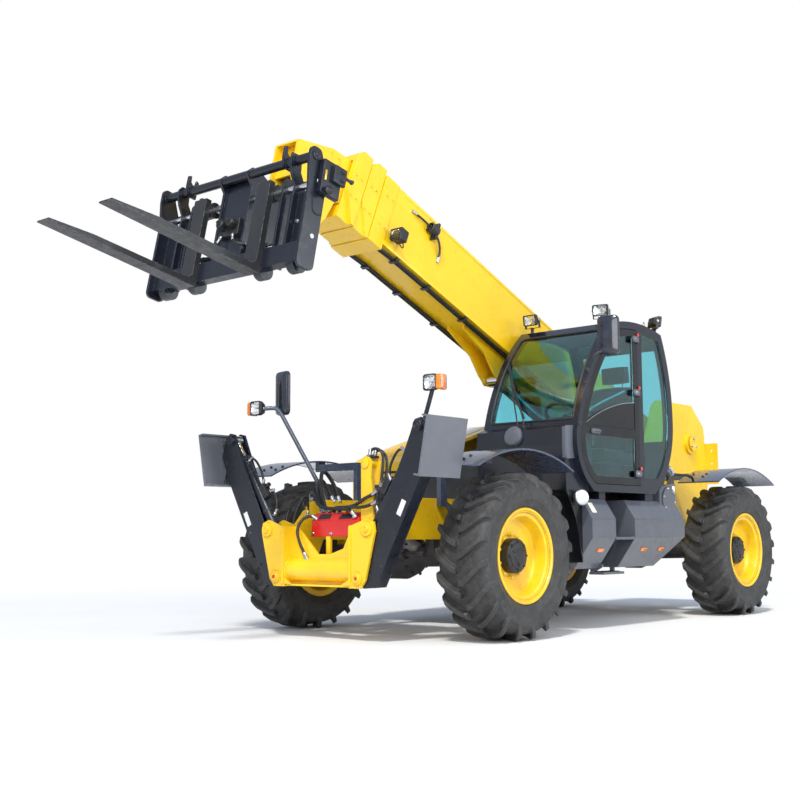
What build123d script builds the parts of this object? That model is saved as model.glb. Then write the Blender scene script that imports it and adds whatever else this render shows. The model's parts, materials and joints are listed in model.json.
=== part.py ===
from build123d import *
from math import acos, atan2, cos, degrees, hypot, radians, sin
import os

# Telehandler with a four-section boom, side cab and two front outriggers.
# Millimetres. +X forward, +Y to the machine's left (cab side), +Z up, ground at z = 0.
# The model is drawn about the middle of the wheelbase and moved at the end so that
# its origin is under the middle of its box.

# Clearances
FIT = 0.3             # pin in an eye, or a seat between two curved faces
RUN = 5.0             # least gap between moving pieces
GAP = 8.0             # usual gap beside a moving plate

# Wheels
WHEELBASE = 3500
TRACK = 1990
TYRE_RADIUS = 585
TYRE_WIDTH = 410
BEAD_RADIUS = 300
LUGS_PER_SIDE = 20
LUG_HEIGHT = 40
LUG_TIP_ANGLE = 5.5
RIM_RADIUS = 334
RIM_WIDTH = 354
RIM_WALL = 14
HUB_RADIUS = 120
HUB_BACK = 60         # hub's inner face, inboard of the wheel's middle plane
AXLE_Z = TYRE_RADIUS * cos(radians(LUG_TIP_ANGLE / 2))

# Axles and knuckles
KINGPIN_INSET = 145   # kingpin inboard of the wheel's middle plane
KINGPIN_Y = TRACK / 2 - KINGPIN_INSET
KINGPIN_RADIUS = 28
KNUCKLE_RADIUS = 52
YOKE_GAP = 125        # half the space between a yoke's arms
YOKE_ARM = 40
AXLE_TUBE = 88
DIFF_RADIUS = 180
STEER_ANGLE = 35

# Frame
RAIL_Y = 380          # inner face of each rail
RAIL_T = 20
RAIL_TOP = 1000
RAIL_BOTTOM = 480
NOTCH_Z = 700         # rail's lower edge over the axles
TOWER_TOP = 2005
REAR_OVERHANG = 810   # rear axle to the rear end plate
FRONT_OVERHANG = 730  # front axle to the outrigger frame's rear face
REAR_X = -WHEELBASE / 2 - REAR_OVERHANG
FRONT_X = WHEELBASE / 2 + FRONT_OVERHANG
PLATE = 20

# Boom, drawn along s from its pivot, with t square to it
PIVOT_BACK = 450      # boom pivot behind the rear axle
PIVOT_X = -WHEELBASE / 2 - PIVOT_BACK
PIVOT_Z = 1620
BOOM_ANGLE = 22
PIVOT_PIN = 50
BASE_LENGTH = 4650
BASE_HALF = 190
BASE_TOP = 60
BASE_LOW = -450
WALL = 10
NEST_GAP = 14
COLLAR_STEP = 155
COLLAR_TOP = 110
COLLAR_LOW = -503
SLIDE_RANGE = 3300
SECTION_TAILS = (500, 700, 900)

# Lift cylinder
LIFT_FOOT = (-WHEELBASE / 2 - 100, 1000)
LIFT_EYE = (2650, -620)
LIFT_BARREL = 75
LIFT_ROD = 45
LIFT_BARREL_END = 1600
LIFT_RETRACT = 290    # what the rod goes in by from the pose drawn
LIFT_DOWN = 24
LIFT_UP = 46

# Boom head and tilt cylinder
HEAD_HALF = 118
HEAD_PLATE = 20
CARRIAGE_PIN = (BASE_LENGTH + 714, -1003)
TILT_FOOT = (BASE_LENGTH + 410, -130)
TILT_BARREL = 48
TILT_ROD = 28
TILT_BARREL_END = 650
TILT_RETRACT = 58
TILT_BACK = 12
TILT_DUMP = 95

# Fork carriage, drawn from its pin with its own pitch
CARRIAGE_PITCH = 12
CARRIAGE_HALF = 755
HEEL = (323, -371)
FORK_LENGTH = 1167
FORK_WIDTH = 125
FORK_THICK = 45
FORK_OUTER = 382
FORK_SHAFT = (275, 215)
SHAFT_RADIUS = 28
TOP_TUBE = (340, 375)
ROD_PIN = (129, 271)
EAR_IN = 128
EAR_T = 20

# Outriggers, drawn for the left side in y and z
LEG_PIN = (403, 440)
CYL_PIN = (490, 776)
LEG_TOP = (930, 1454)
LEG_X = (FRONT_X + 27, FRONT_X + 138)
LEG_PLATE = 14
LEG_SWING = 78
WING_X = (FRONT_X, FRONT_X + 164)
WING_T = 20
PAD_HINGE = (1025, 130)
PAD_LEAN = 10.7
PAD_SIZE = 400
PAD_WIDE = 420
PAD_SWING = 20

# Cab
CAB_Y = (270, 1150)
CAB_WALL = 45
CAB_FLOOR = 1055
CAB_ROOF = 2440
DOOR_HINGE_X = 112
DOOR_OPEN = 100
GLASS = 8

# Towing tongue and the flange with holes behind the left rail
TOW_X = REAR_X - 215
TOW_BORE = 22
TOW_PLATE = 26
FLANGE_Y = 465
FLANGE_Z = 1435
FLANGE_PITCH = 130
FLANGE_HOLE = 11

# Engine pod on the right
POD_X = (-1000, 1000)
POD_Y = (-1180, -430)
POD_LOW = 480
POD_SPLIT = 760
HOOD_REAR_Z = 1720
HOOD_FRONT_Z = 1390
SHEET = 30
HOOD_OPEN = 55
HOOD_PIN = (POD_Y[1] + 14, HOOD_REAR_Z - 10)
HOOD_PIN_RADIUS = 8

# Front lamp's bent stalk on the right
STALK = [(FRONT_X - 90, -830, 1712), (FRONT_X - 170, -740, 1700), (FRONT_X - 410, -450, 1010)]

parts = {}


def face_of(points, radius=0):
    """Closed face through 3-D points of one plane, its corners rounded to the radius."""
    if radius:
        return make_face(FilletPolyline(*points, radius=radius, close=True))
    return make_face(Polyline(*points, close=True))


def wall_xz(points, y_from, y_to, radius=0):
    """Plate whose outline is seen from the side."""
    face = face_of([(x, y_from, z) for x, z in points], radius)
    return extrude(face, amount=y_to - y_from, dir=(0, 1, 0))


def wall_yz(points, x_from, x_to, radius=0):
    """Plate whose outline is seen from the front."""
    face = face_of([(x_from, y, z) for y, z in points], radius)
    return extrude(face, amount=x_to - x_from, dir=(1, 0, 0))


def wall_xy(points, z_from, z_to, radius=0):
    """Plate whose outline is seen from above."""
    face = face_of([(x, y, z_from) for x, y in points], radius)
    return extrude(face, amount=z_to - z_from, dir=(0, 0, 1))


def block(x, y, z):
    """Box between three pairs of limits."""
    corner = (min(x), min(y), min(z))
    size = (abs(x[1] - x[0]), abs(y[1] - y[0]), abs(z[1] - z[0]))
    return Pos(*corner) * Box(*size, align=(Align.MIN, Align.MIN, Align.MIN))


def bar(start, end, radius):
    """Round bar from one point to another."""
    a, b = Vector(*start), Vector(*end)
    return extrude(Plane(origin=a, z_dir=b - a) * Circle(radius), amount=(b - a).length)


def cross_bar(point, y_from, y_to, radius):
    """Round bar across the machine at a point given in x and z."""
    return bar((point[0], y_from, point[1]), (point[0], y_to, point[1]), radius)


def long_bar(point, x_from, x_to, radius):
    """Round bar along the machine at a point given in y and z."""
    return bar((x_from, point[0], point[1]), (x_to, point[0], point[1]), radius)


def both_sides(shape):
    """The shape and its mirror image on the other side of the machine."""
    return [shape, mirror(shape, about=Plane.XZ)]


def fused(*shapes):
    """One solid from several that meet."""
    result = shapes[0]
    for shape in shapes[1:]:
        result = result + shape
    return result


def group(shapes):
    """Solids that share a node without touching."""
    return Compound(children=[solid for shape in shapes for solid in shape.solids()])


def polar(centre, radius, angle):
    """Point at a radius and angle from a centre."""
    return (centre[0] + radius * cos(radians(angle)), centre[1] + radius * sin(radians(angle)))


def turned(point, angle):
    """A point of a plane turned about its origin."""
    c, s = cos(radians(angle)), sin(radians(angle))
    return (point[0] * c - point[1] * s, point[0] * s + point[1] * c)


# Places that follow from the driving dimensions, also used for the joints
BOOM_FRAME = Location((PIVOT_X, 0, PIVOT_Z), (0, -BOOM_ANGLE, 0))
MIDDLE_T = (BASE_TOP + BASE_LOW) / 2


def boom_point(point):
    """World x and z of a point of the boom."""
    x, z = turned(point, BOOM_ANGLE)
    return (PIVOT_X + x, PIVOT_Z + z)


LIFT_PIN_WORLD = boom_point(LIFT_EYE)
LIFT_LENGTH = hypot(LIFT_PIN_WORLD[0] - LIFT_FOOT[0], LIFT_PIN_WORLD[1] - LIFT_FOOT[1])
LIFT_ANGLE = degrees(atan2(LIFT_PIN_WORLD[1] - LIFT_FOOT[1], LIFT_PIN_WORLD[0] - LIFT_FOOT[0]))
CARRIAGE_PIN_WORLD = boom_point(CARRIAGE_PIN)
CARRIAGE_FRAME = Location(
    (CARRIAGE_PIN_WORLD[0], 0, CARRIAGE_PIN_WORLD[1]), (0, -CARRIAGE_PITCH, 0))


def carriage_point(point):
    """World x and z of a point of the fork carriage."""
    x, z = turned(point, CARRIAGE_PITCH)
    return (CARRIAGE_PIN_WORLD[0] + x, CARRIAGE_PIN_WORLD[1] + z)


TILT_FOOT_WORLD = boom_point(TILT_FOOT)
TILT_PIN_WORLD = carriage_point(ROD_PIN)
TILT_RUN = (TILT_PIN_WORLD[0] - TILT_FOOT_WORLD[0], TILT_PIN_WORLD[1] - TILT_FOOT_WORLD[1])
TILT_LENGTH = hypot(*TILT_RUN)
TILT_ANGLE = degrees(atan2(TILT_RUN[1], TILT_RUN[0]))

LEG_RUN = (LEG_TOP[0] - LEG_PIN[0], LEG_TOP[1] - LEG_PIN[1])
LEG_LENGTH = hypot(*LEG_RUN)
LEG_TILT = degrees(atan2(LEG_RUN[0], LEG_RUN[1]))
LEG_CYL_RUN = (LEG_TOP[0] - CYL_PIN[0], LEG_TOP[1] - CYL_PIN[1])
LEG_CYL_LENGTH = hypot(*LEG_CYL_RUN)
LEG_CYL_TILT = degrees(atan2(LEG_CYL_RUN[0], LEG_CYL_RUN[1]))


def leg_point(u, v):
    """World y and z of a point along and outboard of the line between a leg's pins."""
    a = radians(LEG_TILT)
    return (LEG_PIN[0] + u * sin(a) + v * cos(a), LEG_PIN[1] + u * cos(a) - v * sin(a))


PAD_PIN = leg_point(*PAD_HINGE)


def tyre():
    """Tyre about Y, one flat facet under each lug to keep its faces few."""
    sides = 2 * LUGS_PER_SIDE
    crown = TYRE_RADIUS - LUG_HEIGHT
    half = TYRE_WIDTH / 2
    bead = RIM_WIDTH / 2 - 12

    def ring(y, radius):
        angles = [radians(360 / sides * (k + 0.5)) for k in range(sides)]
        return face_of([(radius * cos(a), y, radius * sin(a)) for a in angles])

    seat = (RIM_RADIUS + 2) / cos(radians(180 / sides))
    profile = [(bead, seat), (half, 0.77 * TYRE_RADIUS), (0.78 * half, crown)]
    stations = [(-y, r) for y, r in profile] + [(y, r) for y, r in reversed(profile)]
    carcass = loft([ring(y, r) for y, r in stations], ruled=True)
    hole = extrude(ring(-TYRE_WIDTH, (BEAD_RADIUS + FIT) / cos(radians(180 / sides))),
                   amount=2 * TYRE_WIDTH, dir=(0, 1, 0))
    lugs = []
    for k in range(LUGS_PER_SIDE):
        pitch = 360 / LUGS_PER_SIDE
        lugs.append(tyre_lug(-90 + k * pitch, 1))
        lugs.append(tyre_lug(-90 + (k + 0.5) * pitch, -1))
    return carcass.fuse(*lugs) - hole


def tyre_lug(angle, side):
    """Slanting lug from the tread's middle out over its shoulder, in flat triangles."""
    half = TYRE_WIDTH / 2
    slant = 14
    inner = (side * 8, TYRE_RADIUS - LUG_HEIGHT - 15, TYRE_RADIUS, angle, LUG_TIP_ANGLE)
    outer = (side * (half - 2), 0.76 * TYRE_RADIUS, TYRE_RADIUS - 13, angle + slant, 0.9 * LUG_TIP_ANGLE)
    corners = []
    for y, low, high, middle, width in (inner, outer):
        for radius, turn in ((low, -1), (low, 1), (high, 1), (high, -1)):
            a = radians(middle + turn * width / 2)
            corners.append(Vector(radius * cos(a), y, radius * sin(a)))
    quads = [(0, 1, 2, 3), (7, 6, 5, 4)] + [(k, 4 + k, 4 + (k + 1) % 4, (k + 1) % 4) for k in range(4)]
    faces = []
    for a, b, c, d in quads:
        faces.append(Face(Wire.make_polygon([corners[a], corners[b], corners[c]], close=True)))
        faces.append(Face(Wire.make_polygon([corners[a], corners[c], corners[d]], close=True)))
    return Solid(Shell(faces))


def rim():
    """Deep-dished rim and its hub about Y, outer side towards +Y."""
    edge = RIM_WIDTH / 2
    lip = edge - 12
    dish = RIM_RADIUS - 3.2 * RIM_WALL
    profile = [
        (0, -HUB_BACK), (HUB_RADIUS - 10, -HUB_BACK), (HUB_RADIUS - 10, 12), (BEAD_RADIUS - RIM_WALL, 12),
        (BEAD_RADIUS - RIM_WALL, -edge), (RIM_RADIUS, -edge), (RIM_RADIUS, -lip), (BEAD_RADIUS, -lip),
        (BEAD_RADIUS, lip), (RIM_RADIUS, lip), (RIM_RADIUS, edge), (dish, edge), (dish - 22, 34),
        (HUB_RADIUS, 34), (HUB_RADIUS, 96), (0.6 * HUB_RADIUS, 112), (0, 112)]
    return revolve(face_of([(r, y, 0) for r, y in profile]), axis=Axis.Y)


def knuckle():
    """Steered hub carrier about its kingpin, outboard towards +Y."""
    reach = TRACK / 2 - HUB_BACK - KINGPIN_Y - FIT
    end = YOKE_GAP + YOKE_ARM
    body = bar((0, 0, RUN - YOKE_GAP), (0, 0, YOKE_GAP - RUN), KNUCKLE_RADIUS)
    pins = bar((0, 0, -end), (0, 0, end), KINGPIN_RADIUS)
    carrier = bar((0, 0, 0), (0, reach, 0), 0.76 * HUB_RADIUS)
    arm = wall_xy([(0, -38), (60, -22), (180, -30), (210, -6), (180, 12), (0, 38)], -22, 22)
    ball = bar((184, -9, 10), (184, -9, 48), 20)
    return fused(body, pins, carrier, arm, ball)


def axle():
    """Drive axle about its centre, its input nose towards -X."""
    neck = KINGPIN_Y - 108
    profile = [(0, -neck), (0.85 * AXLE_TUBE, -neck), (AXLE_TUBE, -240), (0.8 * DIFF_RADIUS, -165),
               (DIFF_RADIUS, -75), (DIFF_RADIUS, 75), (0.8 * DIFF_RADIUS, 165), (AXLE_TUBE, 240),
               (0.85 * AXLE_TUBE, neck), (0, neck)]
    housing = revolve(face_of([(r, y, 0) for r, y in profile]), axis=Axis.Y)
    nose = bar((-DIFF_RADIUS - 70, 0, 0), (0, 0, 0), 85)
    steer_ram = bar((0, -250, 0), (0, 250, 0), 40)
    steer_rod = bar((0, -420, 0), (0, 420, 0), 20)
    ram_x = DIFF_RADIUS + 30
    result = fused(housing, nose, Pos(ram_x, 0, 10) * steer_ram, Pos(ram_x, 0, 10) * steer_rod,
                   block((0, ram_x), (-70, 70), (-30, 40)))
    arm_outline = [(-65, neck), (65, neck), (65, KINGPIN_Y), (30, KINGPIN_Y + 58),
                   (-30, KINGPIN_Y + 58), (-65, KINGPIN_Y)]
    web = block((-65, 65), (neck - 30, neck + 18), (-YOKE_GAP - YOKE_ARM, YOKE_GAP + YOKE_ARM))
    seat = block((-110, 110), (RAIL_Y - 30, RAIL_Y + RAIL_T + 30), (0, NOTCH_Z - AXLE_Z))
    arms = [wall_xy(arm_outline, z, z + YOKE_ARM) for z in (YOKE_GAP, -YOKE_GAP - YOKE_ARM)]
    yoke = fused(web, *arms)
    end = YOKE_GAP + YOKE_ARM
    yoke -= bar((0, KINGPIN_Y, -end), (0, KINGPIN_Y, end), KINGPIN_RADIUS + FIT)
    for piece in both_sides(yoke) + both_sides(seat):
        result = result + piece
    return result


def rail():
    """Left frame plate with the boom tower at its rear."""
    axle_x = WHEELBASE / 2
    outline = [
        (FRONT_X, 440), (FRONT_X, 800), (FRONT_X - 180, RAIL_TOP), (PIVOT_X + 1150, RAIL_TOP),
        (PIVOT_X + 730, TOWER_TOP - 60), (PIVOT_X + 640, TOWER_TOP), (PIVOT_X - 60, TOWER_TOP), (REAR_X + 55, 1800),
        (REAR_X, 1375), (REAR_X, 560), (-axle_x - 580, 560), (-axle_x - 430, NOTCH_Z), (430 - axle_x, NOTCH_Z),
        (630 - axle_x, RAIL_BOTTOM), (axle_x - 630, RAIL_BOTTOM), (axle_x - 430, NOTCH_Z),
        (axle_x + 430, NOTCH_Z), (FRONT_X - 180, 440)]
    plate = wall_xz(outline, RAIL_Y, RAIL_Y + RAIL_T)
    pivot = (PIVOT_X, PIVOT_Z)
    boss = cross_bar(pivot, RAIL_Y, RAIL_Y + RAIL_T + 28, 105)
    flange = block((REAR_X + 10, REAR_X + 22), (RAIL_Y + 1, RAIL_Y + 150), (1230, 1640))
    for k in (-1, 0, 1):
        flange -= long_bar((FLANGE_Y, FLANGE_Z + k * FLANGE_PITCH), REAR_X, REAR_X + 40, FLANGE_HOLE)
    body = fused(plate, boss, flange)
    return body - cross_bar(pivot, RAIL_Y - 10, RAIL_Y + 100, PIVOT_PIN + FIT)


def cross_members():
    """What ties the two rails together, with the boom pin and the lift cylinder's foot."""
    inside = (-RAIL_Y, RAIL_Y)
    axle_x = WHEELBASE / 2
    pieces = [
        block((-1080, 1080), inside, (RAIL_BOTTOM, RAIL_BOTTOM + 14)),
        block((axle_x - 110, axle_x + 110), inside, (NOTCH_Z + 90, NOTCH_Z + 190)),
        block((60, 220), inside, (560, 700)),
        block((REAR_X, REAR_X + PLATE), inside, (560, 1720)),
        block((REAR_X + 60, REAR_X + 100), inside, (1790, 1850)),
        cross_bar((PIVOT_X, PIVOT_Z), -RAIL_Y - 60, RAIL_Y + 60, PIVOT_PIN),
    ]
    fx, fz = LIFT_FOOT
    box_top = fz - LIFT_BARREL - 30
    foot_box = block((fx - 130, fx + 120), inside, (box_top - 70, box_top))
    lug = wall_xz([(fx - 110, box_top - 10), (fx + 100, box_top - 10), (fx + 70, fz + 40), (fx + 30, fz + 70),
                   (fx - 30, fz + 70), (fx - 70, fz + 40)], 68, 92)
    pin = cross_bar(LIFT_FOOT, -100, 100, 38)
    pieces.append(fused(foot_box, *both_sides(lug), pin))
    return group(pieces)


def platform_beams():
    """Beams outboard of the rails that carry the cab, the side tank and the engine pod."""
    outer = RAIL_Y + RAIL_T
    pieces = []
    for x in (-150, 560):
        pieces.append(block((x, x + 90), (RAIL_Y, CAB_Y[1] - 60), (RAIL_TOP, CAB_FLOOR)))
    for x in (-700, 500):
        pieces.append(block((x, x + 90), (POD_Y[1], -outer), (POD_LOW + 40, POD_LOW + 140)))
    return group(pieces)


def front_frame():
    """Outrigger frame at the front: wing plates, webs, notched plate and half-round tube."""
    back, front = WING_X
    wing = [(318, 372), (425, 372), (468, 425), (556, 755), (545, 822), (486, 845), (318, 792)]
    lower, upper = LEG_PIN, CYL_PIN
    side = fused(
        wall_yz(wing, back, back + WING_T),
        wall_yz(wing, front - WING_T, front),
        block((back, front), (318, 332), (372, 800)),
        long_bar(lower, front - WING_T, front + 14, 44),
        long_bar(upper, front - WING_T, front + 14, 50),
        long_bar(lower, back, front + 18, 30),
        long_bar(upper, back, front + 18, 25))
    notch_x = (back + 65, back + 83)
    notched = wall_yz([(-320, 380), (320, 380), (320, 800), (270, 790), (190, 640), (60, 600),
                       (-60, 600), (-270, 800), (-320, 800)], *notch_x)
    tube = cross_bar((back + 75, 490), -320, 320, 82)
    floor = block((back, front - 19), (-320, 320), (376, 390))
    result = fused(notched, tube, floor)
    for piece in both_sides(side):
        result = result + piece
    ties = block((back, back + WING_T), (-320, 320), (390, 560))
    return result + ties


def sway_bracket():
    """Bracket behind the frame's left side that carries the axle levelling cylinder's pin."""
    outer = RAIL_Y - 2
    outline = [(262, 795), (outer, 795), (outer, 1000), (352, 1120), (352, 1235), (336, 1272), (305, 1287),
               (276, 1275), (262, 1240)]
    plates = [wall_yz(outline, FRONT_X - x, FRONT_X - x + 18) for x in (40, 140)]
    base = block((FRONT_X - 180, FRONT_X - 2), (262, RAIL_Y), (700, 800))
    pin = long_bar((305, 1235), FRONT_X - 150, FRONT_X - 10, 26)
    return fused(*plates, base, pin)


def manifold_cover():
    """Painted valve cover on two posts behind the front frame's rear plate."""
    x = (FRONT_X - 150, FRONT_X - 10)
    cover = wall_yz([(-110, 720), (250, 720), (250, 880), (225, 912), (-85, 912), (-110, 880)], *x)
    step = block((x[0] + 25, x[1] - 25), (20, 160), (905, 930))
    posts = [block((x[1] - 24, FRONT_X - FIT), (y, y + 40), (532, 725)) for y in (-60, 160)]
    return fused(cover, step, *posts)


def fender(x_middle, side):
    """Thin arched mudguard over a wheel, with its bracket to the rail."""
    half = 580
    rise = 135
    radius = (half ** 2 + rise ** 2) / (2 * rise)
    centre = (x_middle, 1330 - radius)
    spread = degrees(atan2(half, radius - rise))
    outer = [polar(centre, radius, 90 - spread), (x_middle, 1330), polar(centre, radius, 90 + spread)]
    inner = [polar(centre, radius - 12, 90 + spread), (x_middle, 1318), polar(centre, radius - 12, 90 - spread)]
    y_from = TRACK / 2 - TYRE_WIDTH / 2 + 10

    def at(point):
        return (point[0], y_from, point[1])

    edge = [
        ThreePointArc(*[at(p) for p in outer]), Line(at(outer[2]), at(inner[0])),
        ThreePointArc(*[at(p) for p in inner]), Line(at(inner[2]), at(outer[0]))]
    shell = extrude(make_face(edge), amount=400, dir=(0, 1, 0))
    arm = block((x_middle - 35, x_middle + 35), (RAIL_Y + RAIL_T, y_from + 60), (1240, 1300))
    post = block((x_middle - 35, x_middle + 35), (RAIL_Y + RAIL_T, RAIL_Y + RAIL_T + 40), (940, 1300))
    stem = block((x_middle - 35, x_middle + 35), (y_from + 20, y_from + 60), (1290, 1322))
    piece = fused(shell, arm, post, stem)
    return piece if side > 0 else mirror(piece, about=Plane.XZ)


def cab_outline(y, inset=0.0):
    """Side view of the cab as a face: bowed front and rear edges, flat floor."""
    def at(x, z):
        return (x, y, z)

    edges = [
        ThreePointArc(at(480, 2400), at(890, 1900), at(1035, 1500)),
        ThreePointArc(at(1035, 1500), at(975, 1215), at(790, CAB_FLOOR)),
        Line(at(790, CAB_FLOOR), at(-120, CAB_FLOOR)),
        ThreePointArc(at(-120, CAB_FLOOR), at(-370, 1310), at(-456, 1650)),
        ThreePointArc(at(-456, 1650), at(-410, 2060), at(-290, 2390)),
        ThreePointArc(at(-290, 2390), at(90, CAB_ROOF), at(480, 2400)),
    ]
    face = make_face(edges)
    return offset(face, amount=-inset) if inset else face


def cab_solid(inset, y_from, y_to):
    """The cab's side outline, drawn in by an inset, between two planes."""
    return extrude(cab_outline(y_from, inset), amount=y_to - y_from, dir=(0, 1, 0))


def door_region(inset, y_from, y_to):
    """The part of the cab's left side in front of the hinge post."""
    front = block((DOOR_HINGE_X + inset, 1300), (y_from - 1, y_to + 1), (900, 2600))
    return cab_solid(58 + inset, y_from, y_to) & front


def cab_shell():
    """Hollow cab with its door opening and windows cut."""
    right, left = CAB_Y
    shell = cab_solid(0, right, left) - cab_solid(CAB_WALL, right + CAB_WALL, left - CAB_WALL)
    shell -= door_region(0, left - CAB_WALL - 1, left + 1)
    shell -= cab_solid(75, left - CAB_WALL - 1, left + 1) & block((-500, 40), (900, 1200), (1180, 2600))
    shell -= cab_solid(75, right - 1, right + CAB_WALL + 1) & block((-400, 1000), (200, 400), (1620, 2600))
    shell -= block((500, 1200), (right + 55, left - 55), (1600, 2340))
    shell -= block((-600, -200), (right + 75, left - 75), (1500, 2280))
    return shell


def cab_glass():
    """Fixed panes: windscreen, right side, left rear quarter and rear window."""
    right, left = CAB_Y
    skin = cab_solid(6, right, left) - cab_solid(6 + GLASS, right - 1, left + 1)
    screen = skin & block((500, 1200), (right + 55 + FIT, left - 55 - FIT), (1600 + FIT, 2340 - FIT))
    rear = skin & block((-600, -200), (right + 75 + FIT, left - 75 - FIT), (1500 + FIT, 2280 - FIT))
    side_y = (right + 10, right + 10 + GLASS)
    side = cab_solid(75 + FIT, *side_y) & block((-400 + FIT, 1000), (200, 400), (1620 + FIT, 2600))
    quarter = cab_solid(75 + FIT, left - 10 - GLASS, left - 10) \
        & block((-500, 40 - FIT), (900, 1200), (1180 + FIT, 2600))
    return group([screen, rear, side, quarter])


def door_frame():
    """Door frame with its curved middle bar and its three hinge straps."""
    left = CAB_Y[1]
    y_from, y_to = left - CAB_WALL + 5, left
    body = door_region(RUN, y_from, y_to)
    upper = door_region(RUN + 55, y_from - 1, y_to + 1) & block((0, 1300), (900, 1300), (1560, 2600))
    lower = door_region(RUN + 55, y_from - 1, y_to + 1) & block((0, 1300), (900, 1300), (1000, 1490))
    frame = body - upper - lower
    for z in (1210, 1865, 2300):
        strap = block((DOOR_HINGE_X + 3, DOOR_HINGE_X + 70), (left, left + 14), (z - 22, z + 22))
        knob = bar((DOOR_HINGE_X, left + 12, z - 28), (DOOR_HINGE_X, left + 12, z + 28), 12 - FIT)
        frame = fused(frame, strap, knob)
    return frame


def door_glass():
    """The door's upper and lower panes."""
    left = CAB_Y[1]
    y_from, y_to = left - 12 - GLASS, left - 12
    upper = door_region(RUN + 55 + FIT, y_from, y_to) & block((0, 1300), (900, 1300), (1560 + FIT, 2600))
    lower = door_region(RUN + 55 + FIT, y_from, y_to) & block((0, 1300), (900, 1300), (1000, 1490 - FIT))
    return group([upper, lower])


def cowl():
    """Bodywork in front of the cab, under the windscreen."""
    outline = [(850, 1545), (1060, 1552), (1130, 1525), (1136, 1400), (1120, 1060), (700, 1058)]
    body = wall_xz(outline, CAB_Y[0] + 15, CAB_Y[1] - 50)
    return body - cab_solid(-FIT, CAB_Y[0] - 5, CAB_Y[1] + 5)


def seat():
    """Operator's seat on its base, facing forward."""
    y = (520, 1000)
    middle = sum(y) / 2
    base = block((-60, 330), (middle - 150, middle + 150), (CAB_FLOOR + CAB_WALL, 1290))
    cushion = wall_xz([(-110, 1290), (400, 1290), (420, 1340), (390, 1420), (-60, 1400)], *y)
    back = wall_xz([(-180, 1400), (-60, 1400), (-110, 1960), (-190, 2010), (-260, 1960), (-230, 1500)],
                   y[0] + 20, y[1] - 20)
    return fused(base, cushion, back)


def console():
    """Dash, steering column and wheel."""
    dash = wall_xz([(640, CAB_FLOOR + CAB_WALL), (780, CAB_FLOOR + CAB_WALL), (880, 1330), (880, 1480),
                    (760, 1520), (640, 1400)], 400, 1020)
    column = bar((690, 760, 1440), (560, 760, 1640), 28)
    wheel = Location((548, 760, 1658), (0, -33, 0)) * Torus(185, 15)
    hub = bar((575, 760, 1616), (545, 760, 1663), 45)
    spokes = Location((548, 760, 1658), (0, -33, 0)) * Box(26, 360, 10)
    return fused(dash, column, hub, spokes, wheel)


def side_tank():
    """Faceted tank and step boxes under the cab, with the entry steps between them."""
    section = [(430, 1000), (1085, 1000), (1180, 850), (1180, 705), (1010, 470), (430, 470)]
    front = wall_yz(section, 560, 900)
    rear = wall_yz(section, -550, 270)
    rear -= wall_xz([(-560, 460), (-300, 460), (-560, 720)], 400, 1300)
    shoulder = wall_xz([(-150, 990), (-150, CAB_FLOOR), (-240, CAB_FLOOR + 90), (-560, 1150), (-560, 990)],
                       440, 1040)
    shoulder = shoulder - cab_solid(-8, CAB_Y[0] - 5, CAB_Y[1] + 5)
    back = block((270, 560), (430, 460), (470, 1000))
    step_high = block((270, 560), (1030, 1180), (690, 712))
    step_low = block((250, 560), (930, 1060), (420, 440))
    hanger = wall_yz([(940, 440), (975, 440), (1045, 480), (1045, 500), (940, 500)], 540, 560)
    link = block((250, 270), (940, 975), (430, 480))
    neck = bar((-500, 900, 1120), (-640, 960, 1250), 45)
    cap = bar((-640, 960, 1250), (-672, 974, 1280), 56)
    wall_mount = block((-400, 800), (RAIL_Y + RAIL_T, 430), (700, 780))
    return fused(front, rear, shoulder, back, step_high, step_low, hanger, link, neck, cap, wall_mount)


def engine_pod():
    """Tray of the engine pod with the fixed wall on the boom's side."""
    x, y = POD_X, POD_Y
    tray = block(x, (y[0] + 20, y[1]), (POD_LOW, POD_SPLIT - 1))
    tray -= block((x[0] + SHEET, x[1] - SHEET), (y[0] + 20 + SHEET, y[1] - SHEET), (POD_LOW + SHEET, 900))
    wall = wall_xz([(x[0] + 60, POD_SPLIT - 10), (x[1] - 60, POD_SPLIT - 10), (x[1] - 60, 1250),
                    (0, 1560), (x[0] + 60, 1560)], y[1] - SHEET, y[1])
    py, pz = HOOD_PIN
    pieces = [tray, wall]
    for start in (x[0] + 140, -340):
        arm = [(y[1] - SHEET + 2, 1540), (y[1] - 1, 1540), (py + 12, 1640), (py + 12, pz + 10), (py, pz + 16),
               (y[1] + RUN, pz + 8), (y[1] + RUN, pz - 36), (y[1] - SHEET + 2, pz - 70)]
        pieces.append(wall_yz(arm, start, start + 28))
        pieces.append(long_bar(HOOD_PIN, start + 2, start + 104, HOOD_PIN_RADIUS))
    return fused(*pieces)


def hood_profile(drop):
    """Side view of the hood, its top lowered by a drop."""
    return [(POD_X[0], POD_SPLIT), (POD_X[1], POD_SPLIT), (POD_X[1], HOOD_FRONT_Z - drop - 40),
            (POD_X[1] - 60, HOOD_FRONT_Z - drop), (-120, HOOD_REAR_Z - drop), (POD_X[0] + 60, HOOD_REAR_Z - drop),
            (POD_X[0], HOOD_REAR_Z - drop - 60)]


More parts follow.
